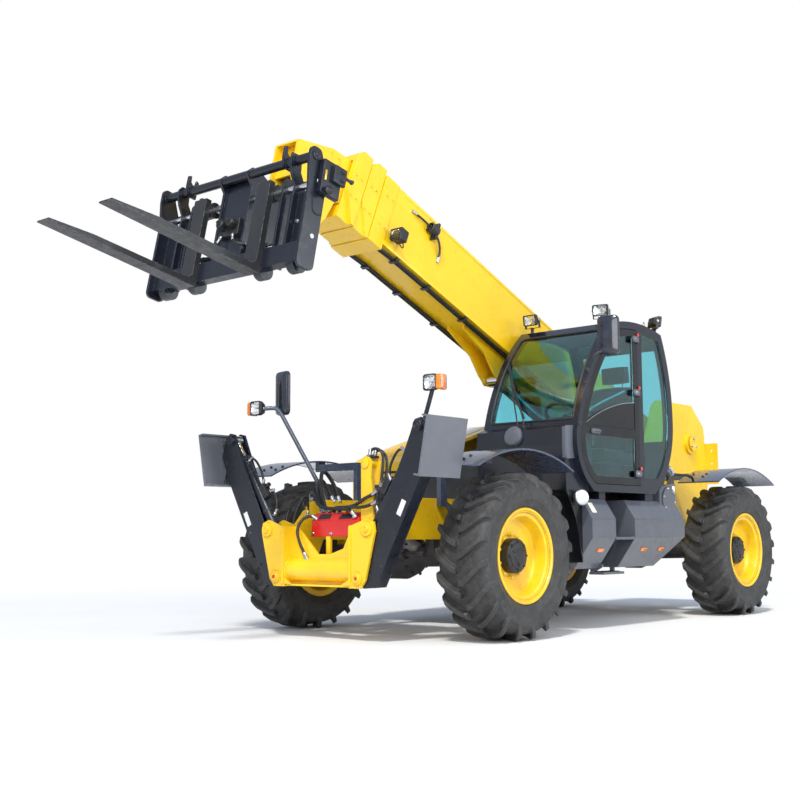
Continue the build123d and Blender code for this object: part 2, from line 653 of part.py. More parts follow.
def engine_hood():
    """Hood over the engine: top, outer side and ends, open towards the boom."""
    outer = wall_xz(hood_profile(0), *POD_Y)
    inner = wall_xz(hood_profile(SHEET), POD_Y[0] + SHEET, POD_Y[1] + 1)
    inner = inner & block((POD_X[0] + SHEET, POD_X[1] - SHEET), (-1300, 0), (0, 3000))
    hood = outer - inner
    for k in range(7):
        x = -760 + 130 * k
        hood -= block((x, x + 60), (POD_Y[0] - 1, POD_Y[0] + 12), (1130, 1420))
    for start in (POD_X[0] + 140, -340):
        eye = long_bar(HOOD_PIN, start + 34, start + 98, 2 * HOOD_PIN_RADIUS)
        hood = hood + eye - long_bar(HOOD_PIN, start + 30, start + 110, HOOD_PIN_RADIUS + FIT)
    return hood


def engine_block():
    """Engine, as one plain block."""
    return block((-620, 420), (-1060, -540), (POD_LOW + SHEET, 1230))


def rear_bumper():
    """Counterweight across the rear with its tow pin and lamp housings."""
    body = wall_xy([(REAR_X, -700), (REAR_X, 700), (REAR_X - 90, 700), (REAR_X - 150, 600),
                    (REAR_X - 150, -600), (REAR_X - 90, -700)], 560, 860)
    tongue = wall_xy([(REAR_X - 140, -90), (REAR_X - 140, 90), (REAR_X - 260, 60), (REAR_X - 260, -60)],
                     640, 640 + TOW_PLATE)
    eye = bar((TOW_X, 0, 630), (TOW_X, 0, 670), TOW_BORE)
    return fused(body, tongue) - eye


def lamp(face_centre, yaw=0, size=(70, 130, 90)):
    """Small rectangular lamp facing forward."""
    housing = Box(*size)
    lens = Pos(size[0] / 2 + 3, 0, 0) * Box(8, size[1] - 20, size[2] - 20)
    return Location(face_centre, (0, 0, yaw)) * fused(housing, lens)


def cab_lamps():
    """Work lamps on the cab roof, each on its bracket."""
    pieces = []
    for x, y, yaw in ((470, 1040, 15), (470, 370, 0), (-290, 1090, 150)):
        z = 2510
        stem = bar((x - 5, y, z - 130), (x - 5, y, z), 12)
        stem -= cab_solid(-FIT, CAB_Y[0] - 5, CAB_Y[1] + 5)
        pieces.append(fused(lamp((x, y, z), yaw), stem))
    return group(pieces)


def head_lamps():
    """Front lamps on stalks either side, the right stalk long and bent."""
    left = fused(
        lamp((FRONT_X - 84, 872, 1762), 0, (80, 110, 110)),
        block((FRONT_X - 114, FRONT_X - 54), (927, 965), (1710, 1814)),
        bar((FRONT_X - 90, 860, 1720), (FRONT_X - 80, 730, 1330), 16),
        bar((FRONT_X - 80, 730, 1330), (FRONT_X - 80, RAIL_Y + 35, 1010), 16),
        block((FRONT_X - 120, FRONT_X - 40), (RAIL_Y + RAIL_T, RAIL_Y + RAIL_T + 30), (790, 1025)))
    right = fused(
        lamp((FRONT_X - 84, -872, 1710), 0, (80, 110, 110)),
        block((FRONT_X - 114, FRONT_X - 54), (-965, -927), (1658, 1762)),
        bar(STALK[0], STALK[1], 16),
        bar(STALK[1], STALK[2], 16),
        block((FRONT_X - 450, FRONT_X - 370), (-RAIL_Y - RAIL_T - 60, -RAIL_Y - RAIL_T), (880, 1025)))
    return group([left, right])


def mirrors():
    """Cab mirror on the left and frame mirror on the right."""
    def housing(height):
        edges = Box(50, 170, height).edges().filter_by(Axis.X)
        return fillet(edges, 22)

    corner = (700, 1215, 2330)
    arm = fused(bar((790, 1300, 2300), corner, 10), bar(corner, (520, 1110, 2330), 10), Pos(*corner) * Sphere(10))
    left = fused(Location((810, 1300, 2238), (0, 0, 15)) * housing(330),
                 arm - cab_solid(-FIT, 200, CAB_Y[1] + FIT))
    x = FRONT_X - 218
    clamp = bar((x, -745, 1760), (FRONT_X - 174, -740, 1704), 10)
    for start, end in zip(STALK, STALK[1:]):
        clamp -= bar(start, end, 16 + FIT)
    right = fused(Location((x, -745, 1850), (0, 0, -10)) * housing(290), clamp.solids().sort_by(Axis.Z)[-1])
    return group([left, right])


def base_section():
    """Boom base: tapered side plates, box, front collar, pivot tube and rod lug."""
    top, low, half = BASE_TOP, BASE_LOW, BASE_HALF
    outline = [(-130, -90), (-130, 70), (-70, 125), (120, 125), (420, top), (BASE_LENGTH, top),
               (BASE_LENGTH, low), (640, low), (-60, -150)]
    body = wall_xz(outline, -half, half)
    body -= block((-200, BASE_LENGTH + 1), (WALL - half, half - WALL), (low + WALL, top - WALL))
    body -= block((-200, 380), (WALL - half, half - WALL), (-500, 200))
    collar = block((BASE_LENGTH - 150, BASE_LENGTH), (-half - 5, half + 5), (COLLAR_LOW, top + 5))
    collar -= block((0, BASE_LENGTH + 1), (WALL - half, half - WALL), (low + WALL, top - WALL))
    rear_wall = block((380, 394), (-half + 1, half - 1), (low + 1, top - 1))
    tube = cross_bar((0, 0), FIT - RAIL_Y, RAIL_Y - FIT, 100)
    s, t = LIFT_EYE
    lug_outline = [(s - 270, low + 2), (s - 90, t - 20), (s - 20, t - 46), (s + 50, t - 46), (s + 130, t - 20),
                   (s + 300, t + 80), (s + 640, low - 30), (s + 650, low + 2)]
    lug = wall_xz(lug_outline, 66, 88)
    head = cross_bar(LIFT_EYE, 84, 112, 44)
    body = fused(body, collar, rear_wall, tube, *both_sides(lug), *both_sides(head))
    body -= cross_bar((0, 0), -RAIL_Y, RAIL_Y, PIVOT_PIN + FIT)
    return BOOM_FRAME * body


def section_box(index):
    """Half width, bottom and top of a telescoping section; the base has index 0."""
    step = (WALL + NEST_GAP) * index
    return BASE_HALF - step, BASE_LOW + step, BASE_TOP - step


def section_end(index):
    """Front end of a section along the boom; the base has index 0."""
    return BASE_LENGTH + COLLAR_STEP * index


def section(index):
    """Telescoping section: a hollow box with a collar that closes on the one behind."""
    half, low, top = section_box(index)
    tail, end = SECTION_TAILS[index - 1], section_end(index)
    body = block((tail, end), (-half, half), (low, top))
    inset = 6 * index
    collar = block((section_end(index - 1) + RUN, end), (inset - BASE_HALF, BASE_HALF - inset),
                   (COLLAR_LOW + inset, COLLAR_TOP - inset))
    rear, floor = section_end(index - 1) + RUN, COLLAR_LOW + inset
    corner = wall_xz([(end + 1, floor + 230), (end + 1, floor - 1), (rear + 25, floor - 1)], half, BASE_HALF)
    crown = wall_xz([(end + 1, COLLAR_TOP - inset - 45), (end + 1, COLLAR_TOP), (end - 60, COLLAR_TOP)],
                    -BASE_HALF, BASE_HALF)
    for cut in (corner, mirror(corner, about=Plane.XZ), crown):
        collar -= cut
    body = body + collar
    body -= block((tail - 1, end + 1), (WALL - half, half - WALL), (low + WALL, top - WALL))
    return body


def tip_section():
    """Innermost section with the plated head that carries the fork carriage."""
    half, low, top = section_box(3)
    tail, end = SECTION_TAILS[2], section_end(2) + 40
    body = block((tail, end), (-half, half), (low, top))
    body -= block((tail - 1, end + 1), (WALL - half, half - WALL), (low + WALL, top - WALL))
    ps, pt = CARRIAGE_PIN
    nose = BASE_LENGTH
    outline = [(end - 5, top), (nose + 500, top - 20), (nose + 825, -178), (nose + 781, -461),
               (nose + 695, -560), (nose + 700, -620), (ps + 85, pt + 40), (ps + 60, pt - 55),
               (ps, pt - 78), (ps - 60, pt - 55), (nose + 530, -880), (nose + 380, -560), (end - 5, low)]
    plate = wall_xz(outline, half - HEAD_PLATE, half)
    web_t = 14
    web = wall_xz([(end - 5, low), (end - 5, low + web_t), (nose + 394, low + web_t), (nose + 396, -556),
                   (nose + 544, -872), (ps - 64, pt - 7), (ps - 78, pt - 17), (nose + 530, -880),
                   (nose + 380, -560)], -half + 1, half - 1)
    roof = wall_xz([(end - 5, top), (nose + 500, top - 20), (nose + 825, -178), (nose + 822, -192),
                    (nose + 498, top - 34), (end - 5, top - web_t)], -half + 1, half - 1)
    brow = block((nose + 735, nose + 749), (-half + 1, half - 1), (-420, -160))
    foot_pin = cross_bar(TILT_FOOT, -half + 1, half - 1, 25)
    hinge = cross_bar(CARRIAGE_PIN, -EAR_IN - EAR_T - 12, EAR_IN + EAR_T + 12, 38)
    body = fused(body, *both_sides(plate), web, roof, brow, foot_pin, hinge)
    return BOOM_FRAME * body


def slide_pads(index):
    """Wear pads inside the mouth of a section that guide the next one."""
    half, low, top = section_box(index)
    half, low, top = half - WALL, low + WALL, top - WALL
    end = section_end(index) - 15
    s = (end - 90, end)
    thick = NEST_GAP - 0.5
    wide = half - 45
    pads = [
        block(s, (-wide, wide), (low, low + thick)),
        block(s, (-wide, wide), (top - thick, top)),
        block(s, (half - thick, half), (MIDDLE_T - 90, MIDDLE_T + 90)),
        block(s, (-half, thick - half), (MIDDLE_T - 90, MIDDLE_T + 90))]
    return BOOM_FRAME * group(pads)


def boom_fittings():
    """Work lamp and hose guide on the base's left side."""
    s = BASE_LENGTH - 230
    face = BASE_HALF
    work_lamp = fused(block((s - 30, s + 55), (face + 40, face + 130), (-400, -310)),
                      block((s - 10, s + 30), (face, face + 45), (-375, -335)))
    ring = fused(block((s - 400, s - 380), (face, face + 60), (-120, 20)),
                 block((s - 400, s - 380), (face + 40, face + 60), (-120, 20)),
                 bar((s - 400, face + 30, -50), (s - 320, face + 30, -50), 22))
    return BOOM_FRAME * group([work_lamp, ring])


def cylinder_pair(foot, angle, length, barrel, rod, eye_half, barrel_end, retract, foot_pin, rod_pin):
    """Barrel and rod of a cylinder in the side plane, from its foot towards its rod's eye."""
    frame = Location((foot[0], 0, foot[1]), (0, -angle, 0))
    bore_start = 4 * foot_pin + 30
    rod_start = bore_start + retract + 12
    tube = bar((foot_pin * 3.7, 0, 0), (barrel_end, 0, 0), barrel)
    neck = bar((0, 0, 0), (foot_pin * 4, 0, 0), 0.9 * eye_half)
    eye = cross_bar((0, 0), -eye_half, eye_half, foot_pin * 1.7)
    gland = bar((barrel_end - 0.9 * barrel, 0, 0), (barrel_end, 0, 0), 1.08 * barrel)
    body = fused(tube, gland, neck, eye)
    body -= cross_bar((0, 0), -eye_half - 1, eye_half + 1, foot_pin + FIT)
    body -= bar((bore_start, 0, 0), (barrel_end + 1, 0, 0), rod + FIT)
    shaft = bar((rod_start, 0, 0), (length - rod_pin * 1.4, 0, 0), rod)
    rod_eye = cross_bar((length, 0), -eye_half, eye_half, rod_pin * 1.75)
    rod_body = fused(shaft, rod_eye) - cross_bar((length, 0), -eye_half - 1, eye_half + 1, rod_pin)
    return frame * body, frame * rod_body


def carriage():
    """Fork carriage: end plates, top tube, lower beam, coupler ears and rod lugs."""
    half = CARRIAGE_HALF
    ha, hc = HEEL
    beam = block((ha - 72, ha - FIT), (-half + 10, half - 10), (hc + 40, hc + 172))
    end_plate = wall_xz([(ha - 108, hc - 12), (ha + 40, hc - 12), (ha + 40, 150), (ha + 70, 320),
                         (ha + 70, 430), (ha - 20, 430), (ha - 108, 250)], half - 20, half, 40)
    tube = cross_bar(TOP_TUBE, -half + 10, half - 10, 32)
    sx, sz = FORK_SHAFT
    tx, tz = TOP_TUBE
    stay = wall_xz([(ha - 100, hc + 45), (ha - FIT, hc + 45), (ha - FIT, 170), (sx + 44, sz + 45), (sx + 22, sz + 80),
                    (sx - 22, sz + 80), (ha - 100, sz + 20)], 455, 471)
    hanger = wall_xz([(ha - 100, hc + 45), (ha - FIT, hc + 45), (ha - FIT, sz - 70), (ha - 6, sz - 10),
                      (tx + 24, sz + 62), (tx + 46, tz - 36), (tx + 48, tz + 14), (tx + 26, tz + 44), (tx - 20, tz + 46),
                      (tx - 46, tz + 16), (tx - 52, tz - 62), (sx - 52, sz + 8), (ha - 100, sz - 80)], 560, 576)
    claw = wall_xz([(tx - 44, tz - 42), (tx + 40, tz - 42), (tx + 48, tz + 30), (tx + 46, tz + 104), (tx + 22, tz + 112),
                    (tx + 18, tz + 66), (tx, tz + 50), (tx - 20, tz + 62), (tx - 26, tz + 96), (tx - 46, tz + 86),
                    (tx - 48, tz + 20)], 480, 496)
    foot = cross_bar((ha - 66, hc + 46), 300, 362, 62)
    end_foot = cross_bar((ha - 66, hc + 46), 606, 672, 62)
    ear = wall_xz([(-72, -52), (-15, -80), (ha - 75, hc + 42), (ha - FIT, hc + 42), (ha - FIT, 300),
                   (TOP_TUBE[0] + 48, 372), (TOP_TUBE[0], 425), (250, 415), (50, 325), (-72, 60)],
                  EAR_IN, EAR_IN + EAR_T)
    shield = block((ha - 30, ha - 16), (-EAR_IN - 1, EAR_IN + 1), (hc + 120, 360))
    ra, rc = ROD_PIN
    lug = wall_xz([(ha - 20, rc - 75), (ha - 20, rc + 75), (ra + 20, rc + 48), (ra - 40, rc + 25),
                   (ra - 40, rc - 25), (ra + 20, rc - 48)], 44, 62)
    lug_head = cross_bar(ROD_PIN, 60, 78, 34)
    panel = block((ha - 60, ha - 48), (500, half - 15), (hc + 120, 170))
    body = fused(beam, tube, shield)
    for piece in (end_plate, stay, hanger, claw, foot, end_foot, ear, lug, lug_head, panel):
        for side in both_sides(piece):
            body = body + side
    body -= cross_bar((0, 0), -EAR_IN - EAR_T - 1, EAR_IN + EAR_T + 1, 38 + FIT)
    body -= cross_bar(FORK_SHAFT, -half - 1, half + 1, SHAFT_RADIUS + FIT)
    return CARRIAGE_FRAME * body


def fork_shaft():
    """Round bar that the forks hang on."""
    end = CARRIAGE_HALF - 6
    return CARRIAGE_FRAME * cross_bar(FORK_SHAFT, -end, end, SHAFT_RADIUS)


def forks():
    """Two pallet forks, each a shank with an eye and a blade that thins to its tip."""
    ha, hc = HEEL
    top = FORK_SHAFT[1] + 55
    outline = [(ha, hc + 12), (ha + 12, hc), (ha + FORK_LENGTH, hc), (ha + FORK_LENGTH, hc + 10),
               (ha + 0.72 * FORK_LENGTH, hc + 0.8 * FORK_THICK), (ha + FORK_THICK + 30, hc + FORK_THICK),
               (ha + FORK_THICK, hc + FORK_THICK + 30), (ha + FORK_THICK, top), (ha, top)]
    y = (FORK_OUTER - FORK_WIDTH, FORK_OUTER)
    eye = cross_bar(FORK_SHAFT, y[0] + 12, y[1] - 12, 52)
    fork = fused(wall_xz(outline, *y), eye)
    fork -= cross_bar(FORK_SHAFT, y[0] - 1, y[1] + 1, SHAFT_RADIUS + FIT)
    return CARRIAGE_FRAME * group(both_sides(fork))


def leg():
    """Left outrigger leg: two plates and a back web, open towards the cylinder."""
    x = LEG_X
    outline = [(-50, 15), (-30, -30), (300, -34), (980, -34), (LEG_LENGTH + 20, -52), (LEG_LENGTH + 55, -10),
               (LEG_LENGTH + 48, 42), (LEG_LENGTH - 60, 150), (900, 165), (10, 150), (-45, 62)]
    face = [leg_point(u, v) for u, v in outline]
    web = [leg_point(u, v) for u, v in [(-42, 62), (12, 149), (860, 164), (860, 149), (24, 135), (-28, 58)]]
    sole = [leg_point(u, v) for u, v in [(40, -30), (270, -33), (270, -19), (40, -16)]]
    body = fused(
        wall_yz(face, x[0], x[0] + LEG_PLATE),
        wall_yz(face, x[1] - LEG_PLATE, x[1]),
        wall_yz(web, x[0] + 1, x[1] - 1),
        wall_yz(sole, x[0] + 1, x[1] - 1),
        long_bar(LEG_TOP, x[1] - 2, x[1] + 16, 42),
        long_bar(LEG_PIN, x[0], x[1], 50))
    body = body + long_bar(PAD_PIN, x[0] - 6, x[1] + 6, 20)
    return body - long_bar(LEG_PIN, x[0] - 1, x[1] + 1, 30 + FIT)


def leg_cylinder():
    """Barrel and rod of the left outrigger's cylinder."""
    middle = sum(LEG_X) / 2
    a = radians(LEG_CYL_TILT)

    def along(distance):
        return (middle, CYL_PIN[0] + distance * sin(a), CYL_PIN[1] + distance * cos(a))

    length = LEG_CYL_LENGTH
    x = (middle - 30, middle + 30)
    barrel = fused(bar(along(40), along(0.78 * length), 37), long_bar(CYL_PIN, *x, 44))
    barrel -= long_bar(CYL_PIN, x[0] - 1, x[1] + 1, 25 + FIT)
    barrel -= bar(along(0.22 * length), along(0.78 * length + 1), 22 + FIT)
    rod = fused(bar(along(0.25 * length), along(length - 30), 22), long_bar(LEG_TOP, *x, 38))
    rod -= long_bar(LEG_TOP, x[0] - 1, x[1] + 1, 20)
    return barrel, rod


def foot_pad():
    """Left outrigger foot: a plate with two gussets on the leg's pin."""
    a = radians(PAD_LEAN)

    def at(n, p):
        return (PAD_PIN[0] + n * cos(a) + p * sin(a), PAD_PIN[1] - n * sin(a) + p * cos(a))

    middle = sum(LEG_X) / 2
    low, high = -0.42 * PAD_SIZE, 0.58 * PAD_SIZE
    plate = wall_yz([at(88, low), at(104, low), at(104, high), at(88, high)],
                    middle - PAD_WIDE / 2, middle + PAD_WIDE / 2)
    gusset = [at(90, low + 15), at(90, high - 15), at(22, 38), at(-20, 34), at(-36, 0), at(-20, -34), at(22, -38)]
    pieces = [plate]
    for x in (middle - 34, middle + 22):
        pieces.append(wall_yz(gusset, x, x + 12))
    for p in (low, high - 12):
        pieces.append(wall_yz([at(52, p), at(90, p), at(90, p + 12), at(52, p + 12)],
                              middle - PAD_WIDE / 2, middle + PAD_WIDE / 2))
    body = fused(*pieces)
    return body - long_bar(PAD_PIN, middle - 60, middle + 60, 20 + FIT)


def build():
    """Fill the table of nodes."""
    left_tyre = tyre()
    right_tyre = mirror(left_tyre, about=Plane.XZ)
    left_rim = rim()
    left_knuckle = knuckle()
    for name, x, side in (("fl", 1, 1), ("fr", 1, -1), ("rl", -1, 1), ("rr", -1, -1)):
        hub_place = Pos(x * WHEELBASE / 2, side * TRACK / 2, AXLE_Z)
        pin_place = Pos(x * WHEELBASE / 2, side * KINGPIN_Y, AXLE_Z)
        carrier = left_knuckle if x > 0 else mirror(left_knuckle, about=Plane.YZ)
        parts["tyre_" + name] = hub_place * (left_tyre if side > 0 else right_tyre)
        parts["rim_" + name] = hub_place * (left_rim if side > 0 else mirror(left_rim, about=Plane.XZ))
        parts["knuckle_" + name] = pin_place * (carrier if side > 0 else mirror(carrier, about=Plane.XZ))
    drive = axle()
    parts["front_axle"] = Pos(WHEELBASE / 2, 0, AXLE_Z) * drive
    parts["rear_axle"] = Pos(-WHEELBASE / 2, 0, AXLE_Z) * mirror(drive, about=Plane.YZ)

    parts["frame_rails"] = group(both_sides(rail()))
    parts["cross_members"] = cross_members()
    parts["platform_beams"] = platform_beams()
    parts["front_frame"] = front_frame()
    parts["sway_bracket"] = sway_bracket()
    parts["manifold_cover"] = manifold_cover()
    parts["fenders"] = group([fender(x * WHEELBASE / 2, s) for x in (1, -1) for s in (1, -1)])
    parts["side_tank"] = side_tank()
    parts["engine_pod"] = engine_pod()
    parts["engine_hood"] = engine_hood()
    parts["engine_block"] = engine_block()
    parts["rear_bumper"] = rear_bumper()

    parts["cab_shell"] = cab_shell()
    parts["cab_glass"] = cab_glass()
    parts["cab_cowl"] = cowl()
    parts["cab_seat"] = seat()
    parts["cab_console"] = console()
    parts["cab_lamps"] = cab_lamps()
    parts["head_lamps"] = head_lamps()
    parts["mirrors"] = mirrors()
    parts["door_frame"] = door_frame()
    parts["door_glass"] = door_glass()

    parts["boom_base"] = base_section()
    parts["boom_second"] = BOOM_FRAME * section(1)
    parts["boom_third"] = BOOM_FRAME * section(2)
    parts["boom_tip"] = tip_section()
    for index, name in enumerate(("base", "second", "third")):
        parts["slide_pads_" + name] = slide_pads(index)
    parts["boom_fittings"] = boom_fittings()
    parts["lift_barrel"], parts["lift_rod"] = cylinder_pair(
        LIFT_FOOT, LIFT_ANGLE, LIFT_LENGTH, LIFT_BARREL, LIFT_ROD, 55, LIFT_BARREL_END, LIFT_RETRACT, 38, 30)
    parts["tilt_barrel"], parts["tilt_rod"] = cylinder_pair(
        TILT_FOOT_WORLD, TILT_ANGLE, TILT_LENGTH, TILT_BARREL, TILT_ROD, 34, TILT_BARREL_END, TILT_RETRACT, 25, 24)

    parts["fork_carriage"] = carriage()
    parts["fork_shaft"] = fork_shaft()
    parts["forks"] = forks()

    barrel, rod = leg_cylinder()
    for name, turn in (("left", False), ("right", True)):
        for node, shape in (("leg_", leg()), ("leg_barrel_", barrel), ("leg_rod_", rod), ("foot_pad_", foot_pad())):
            parts[node + name] = mirror(shape, about=Plane.XZ) if turn else shape


def main():
    """Build every node, move the origin under the middle of the box and write the files."""
    build()
    boxes = [shape.bounding_box() for shape in parts.values()]
    shift_x = -(min(b.min.X for b in boxes) + max(b.max.X for b in boxes)) / 2
    shift_y = -(min(b.min.Y for b in boxes) + max(b.max.Y for b in boxes)) / 2
    shift_z = -min(b.min.Z for b in boxes)
    os.makedirs("parts", exist_ok=True)
    for name, shape in parts.items():
        export_step(Pos(shift_x, shift_y, shift_z) * shape, "parts/" + name + ".step")
    print("origin moved by", round(shift_x, 4), round(shift_y, 4), round(shift_z, 4), "with", len(parts), "nodes")
    return shift_x, shift_y, shift_z


if __name__ == "__main__":
    main()
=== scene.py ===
import bpy
import bmesh
import json
from math import atan2, cos, exp, hypot, pi, radians, sin, sqrt
from mathutils import Matrix, Vector

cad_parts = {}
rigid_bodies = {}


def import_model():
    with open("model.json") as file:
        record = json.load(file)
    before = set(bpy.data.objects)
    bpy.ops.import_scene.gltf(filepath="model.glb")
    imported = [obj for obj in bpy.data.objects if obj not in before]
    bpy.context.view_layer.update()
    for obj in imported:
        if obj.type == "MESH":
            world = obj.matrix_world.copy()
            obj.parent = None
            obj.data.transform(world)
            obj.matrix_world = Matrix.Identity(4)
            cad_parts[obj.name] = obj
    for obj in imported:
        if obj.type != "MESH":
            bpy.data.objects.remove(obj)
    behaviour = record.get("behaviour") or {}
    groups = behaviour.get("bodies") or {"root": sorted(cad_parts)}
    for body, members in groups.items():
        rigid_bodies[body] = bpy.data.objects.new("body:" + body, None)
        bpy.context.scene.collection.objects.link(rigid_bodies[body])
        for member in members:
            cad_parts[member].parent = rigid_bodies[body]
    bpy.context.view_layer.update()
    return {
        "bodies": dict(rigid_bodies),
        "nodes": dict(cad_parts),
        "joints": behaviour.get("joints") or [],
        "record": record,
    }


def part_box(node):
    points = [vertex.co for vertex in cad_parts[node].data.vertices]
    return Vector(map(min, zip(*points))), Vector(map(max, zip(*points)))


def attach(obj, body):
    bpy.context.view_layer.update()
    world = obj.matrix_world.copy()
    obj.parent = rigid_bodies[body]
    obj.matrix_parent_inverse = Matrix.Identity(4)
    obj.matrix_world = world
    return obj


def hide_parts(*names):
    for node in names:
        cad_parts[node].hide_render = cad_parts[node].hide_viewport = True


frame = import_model()
scene = bpy.context.scene

# Places are written in metres from the middle of the wheelbase, on the centreline and
# the ground. The wheels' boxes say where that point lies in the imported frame.


def middle(node):
    low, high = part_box(node)
    return (low + high) / 2


SHIFT = Vector((
    (middle("tyre_fl").x + middle("tyre_rl").x) / 2,
    (middle("tyre_fl").y + middle("tyre_fr").y) / 2, 0))
WHEELS = {name: middle("tyre_" + name) for name in ("fl", "fr", "rl", "rr")}


def at(x, y, z):
    return Vector((x, y, z)) + SHIFT


# Camera

YAW, PITCH, ROLL = radians(40.85), radians(6.48), radians(-0.27)
forward = Vector((-cos(YAW) * cos(PITCH), -sin(YAW) * cos(PITCH), sin(PITCH)))
level = forward.cross(Vector((0, 0, 1))).normalized()
upward = level.cross(forward)
cam_x = cos(ROLL) * level + sin(ROLL) * upward
cam_y = -sin(ROLL) * level + cos(ROLL) * upward
cam_data = bpy.data.cameras.new("camera")
cam_data.sensor_fit = "HORIZONTAL"
cam_data.sensor_width = 36
cam_data.lens = 1194.2 / 800 * 36
cam_data.clip_end = 300
camera = bpy.data.objects.new("camera", cam_data)
scene.collection.objects.link(camera)
camera.matrix_world = Matrix((
    (cam_x.x, cam_y.x, -forward.x, 0), (cam_x.y, cam_y.y, -forward.y, 0),
    (cam_x.z, cam_y.z, -forward.z, 0), (0, 0, 0, 1)))
camera.matrix_world.translation = at(8.639, 5.973, 0.728)
scene.camera = camera
scene.view_settings.view_transform = "Standard"

# Materials


class Nodes:
    """A material's node tree with short calls to add and join nodes."""

    def __init__(self, name):
        self.mat = bpy.data.materials.new(name)
        self.mat.use_nodes = True
        self.tree = self.mat.node_tree
        self.tree.nodes.clear()
        self.out = self.add("ShaderNodeOutputMaterial")
        self.coord = self.add("ShaderNodeTexCoord").outputs["Object"]

    def add(self, kind, **values):
        node = self.tree.nodes.new(kind)
        for key, value in values.items():
            setattr(node, key, value)
        return node

    def link(self, source, target):
        self.tree.links.new(source, target)

    def noise(self, scale, detail=4.0, rough=0.55, stretch=(1, 1, 1)):
        mapping = self.add("ShaderNodeMapping")
        mapping.inputs["Scale"].default_value = stretch
        self.link(self.coord, mapping.inputs["Vector"])
        node = self.add("ShaderNodeTexNoise")
        node.inputs["Scale"].default_value = scale
        node.inputs["Detail"].default_value = detail
        node.inputs["Roughness"].default_value = rough
        self.link(mapping.outputs[0], node.inputs["Vector"])
        return node.outputs["Fac"]

    def ramp(self, source, low, high, a=0.0, b=1.0):
        node = self.add("ShaderNodeMapRange")
        node.inputs["From Min"].default_value = low
        node.inputs["From Max"].default_value = high
        node.inputs["To Min"].default_value = a
        node.inputs["To Max"].default_value = b
        self.link(source, node.inputs["Value"])
        return node.outputs["Result"]

    def math(self, operation, a, b):
        node = self.add("ShaderNodeMath", operation=operation)
        for slot, value in zip(node.inputs, (a, b)):
            if isinstance(value, (int, float)):
                slot.default_value = value
            else:
                self.link(value, slot)
        return node.outputs[0]

    def mix(self, fac, a, b):
        node = self.add("ShaderNodeMix", data_type="RGBA")
        for slot, value in zip((node.inputs[0], node.inputs[6], node.inputs[7]), (fac, a, b)):
            if isinstance(value, (int, float)):
                slot.default_value = value
            elif isinstance(value, tuple):
                slot.default_value = (*value, 1)
            else:
                self.link(value, slot)
        return node.outputs[2]

    def edges(self, radius, low=0.02, high=0.25):
        """Mask that is 1 along sharp edges."""
        bevel = self.add("ShaderNodeBevel", samples=4)
        bevel.inputs["Radius"].default_value = radius
        geometry = self.add("ShaderNodeNewGeometry")
        dot = self.add("ShaderNodeVectorMath", operation="DOT_PRODUCT")
        self.link(bevel.outputs[0], dot.inputs[0])
        self.link(geometry.outputs["Normal"], dot.inputs[1])
        return self.ramp(dot.outputs["Value"], 1 - low, 1 - high)

    def height(self, low, high):
        split = self.add("ShaderNodeSeparateXYZ")
        self.link(self.coord, split.inputs[0])
        return self.ramp(split.outputs["Z"], low, high)

    def bump(self, source, strength, distance, soften=0.0):
        node = self.add("ShaderNodeBump")
        node.inputs["Strength"].default_value = strength
        node.inputs["Distance"].default_value = distance
        self.link(source, node.inputs["Height"])
        if soften:
            bevel = self.add("ShaderNodeBevel", samples=4)
            bevel.inputs["Radius"].default_value = soften
            self.link(bevel.outputs[0], node.inputs["Normal"])
        return node.outputs[0]

    def shader(self, colour, rough, normal=None, **values):
        node = self.add("ShaderNodeBsdfPrincipled")
        for slot, value in (("Base Color", colour), ("Roughness", rough), ("Normal", normal)):
            if value is None:
                continue
            if isinstance(value, tuple):
                node.inputs[slot].default_value = (*value, 1)
            elif isinstance(value, (int, float)):
                node.inputs[slot].default_value = value
            else:
                self.link(value, node.inputs[slot])
        for slot, value in values.items():
            target = node.inputs[slot.replace("_", " ")]
            target.default_value = (*value, 1) if isinstance(value, tuple) else value
        self.link(node.outputs[0], self.out.inputs["Surface"])
        return self.mat


def paint(name, colour, shade, dirt, rough=0.3, coat=0.5, dusty=0.25, wear=None, soften=0.004,
          height=(0.2, 1.6)):
    """Sprayed paint: slight mottle, orange peel, dust that gathers low down, worn edges."""
    n = Nodes(name)
    base = n.mix(n.ramp(n.noise(2.2, 3), 0.3, 0.72), colour, shade)
    patches = n.ramp(n.noise(7.0, 8, 0.65), 0.42, 0.75)
    grime = n.math("MULTIPLY", patches, n.ramp(n.height(*height), 0, 1, dusty, dusty * 0.25))
    base = n.mix(grime, base, dirt)
    if wear:
        mask = n.math("MULTIPLY", n.edges(0.006), n.ramp(n.noise(34.0, 6, 0.7), 0.46, 0.62))
        base = n.mix(mask, base, wear)
    spread = n.ramp(n.noise(18.0, 5), 0.3, 0.7, rough * 0.8, rough * 1.35)
    normal = n.bump(n.noise(420.0, 2), 0.06, 0.001, soften)
    return n.shader(base, spread, normal, Coat_Weight=coat, Coat_Roughness=0.08)


def plain(name, colour, rough, scale=60.0, bump=0.15, soften=0.003, **values):
    """Moulded or cast surface with a fine grain and a slight change of tone."""
    n = Nodes(name)
    tone = tuple(min(1, c * 1.5 + 0.01) for c in colour)
    base = n.mix(n.ramp(n.noise(scale / 8, 5), 0.35, 0.75), colour, tone)
    spread = n.ramp(n.noise(scale / 3, 4), 0.3, 0.7, rough * 0.85, min(1, rough * 1.2))
    return n.shader(base, spread, n.bump(n.noise(scale, 6), bump, 0.002, soften), **values)


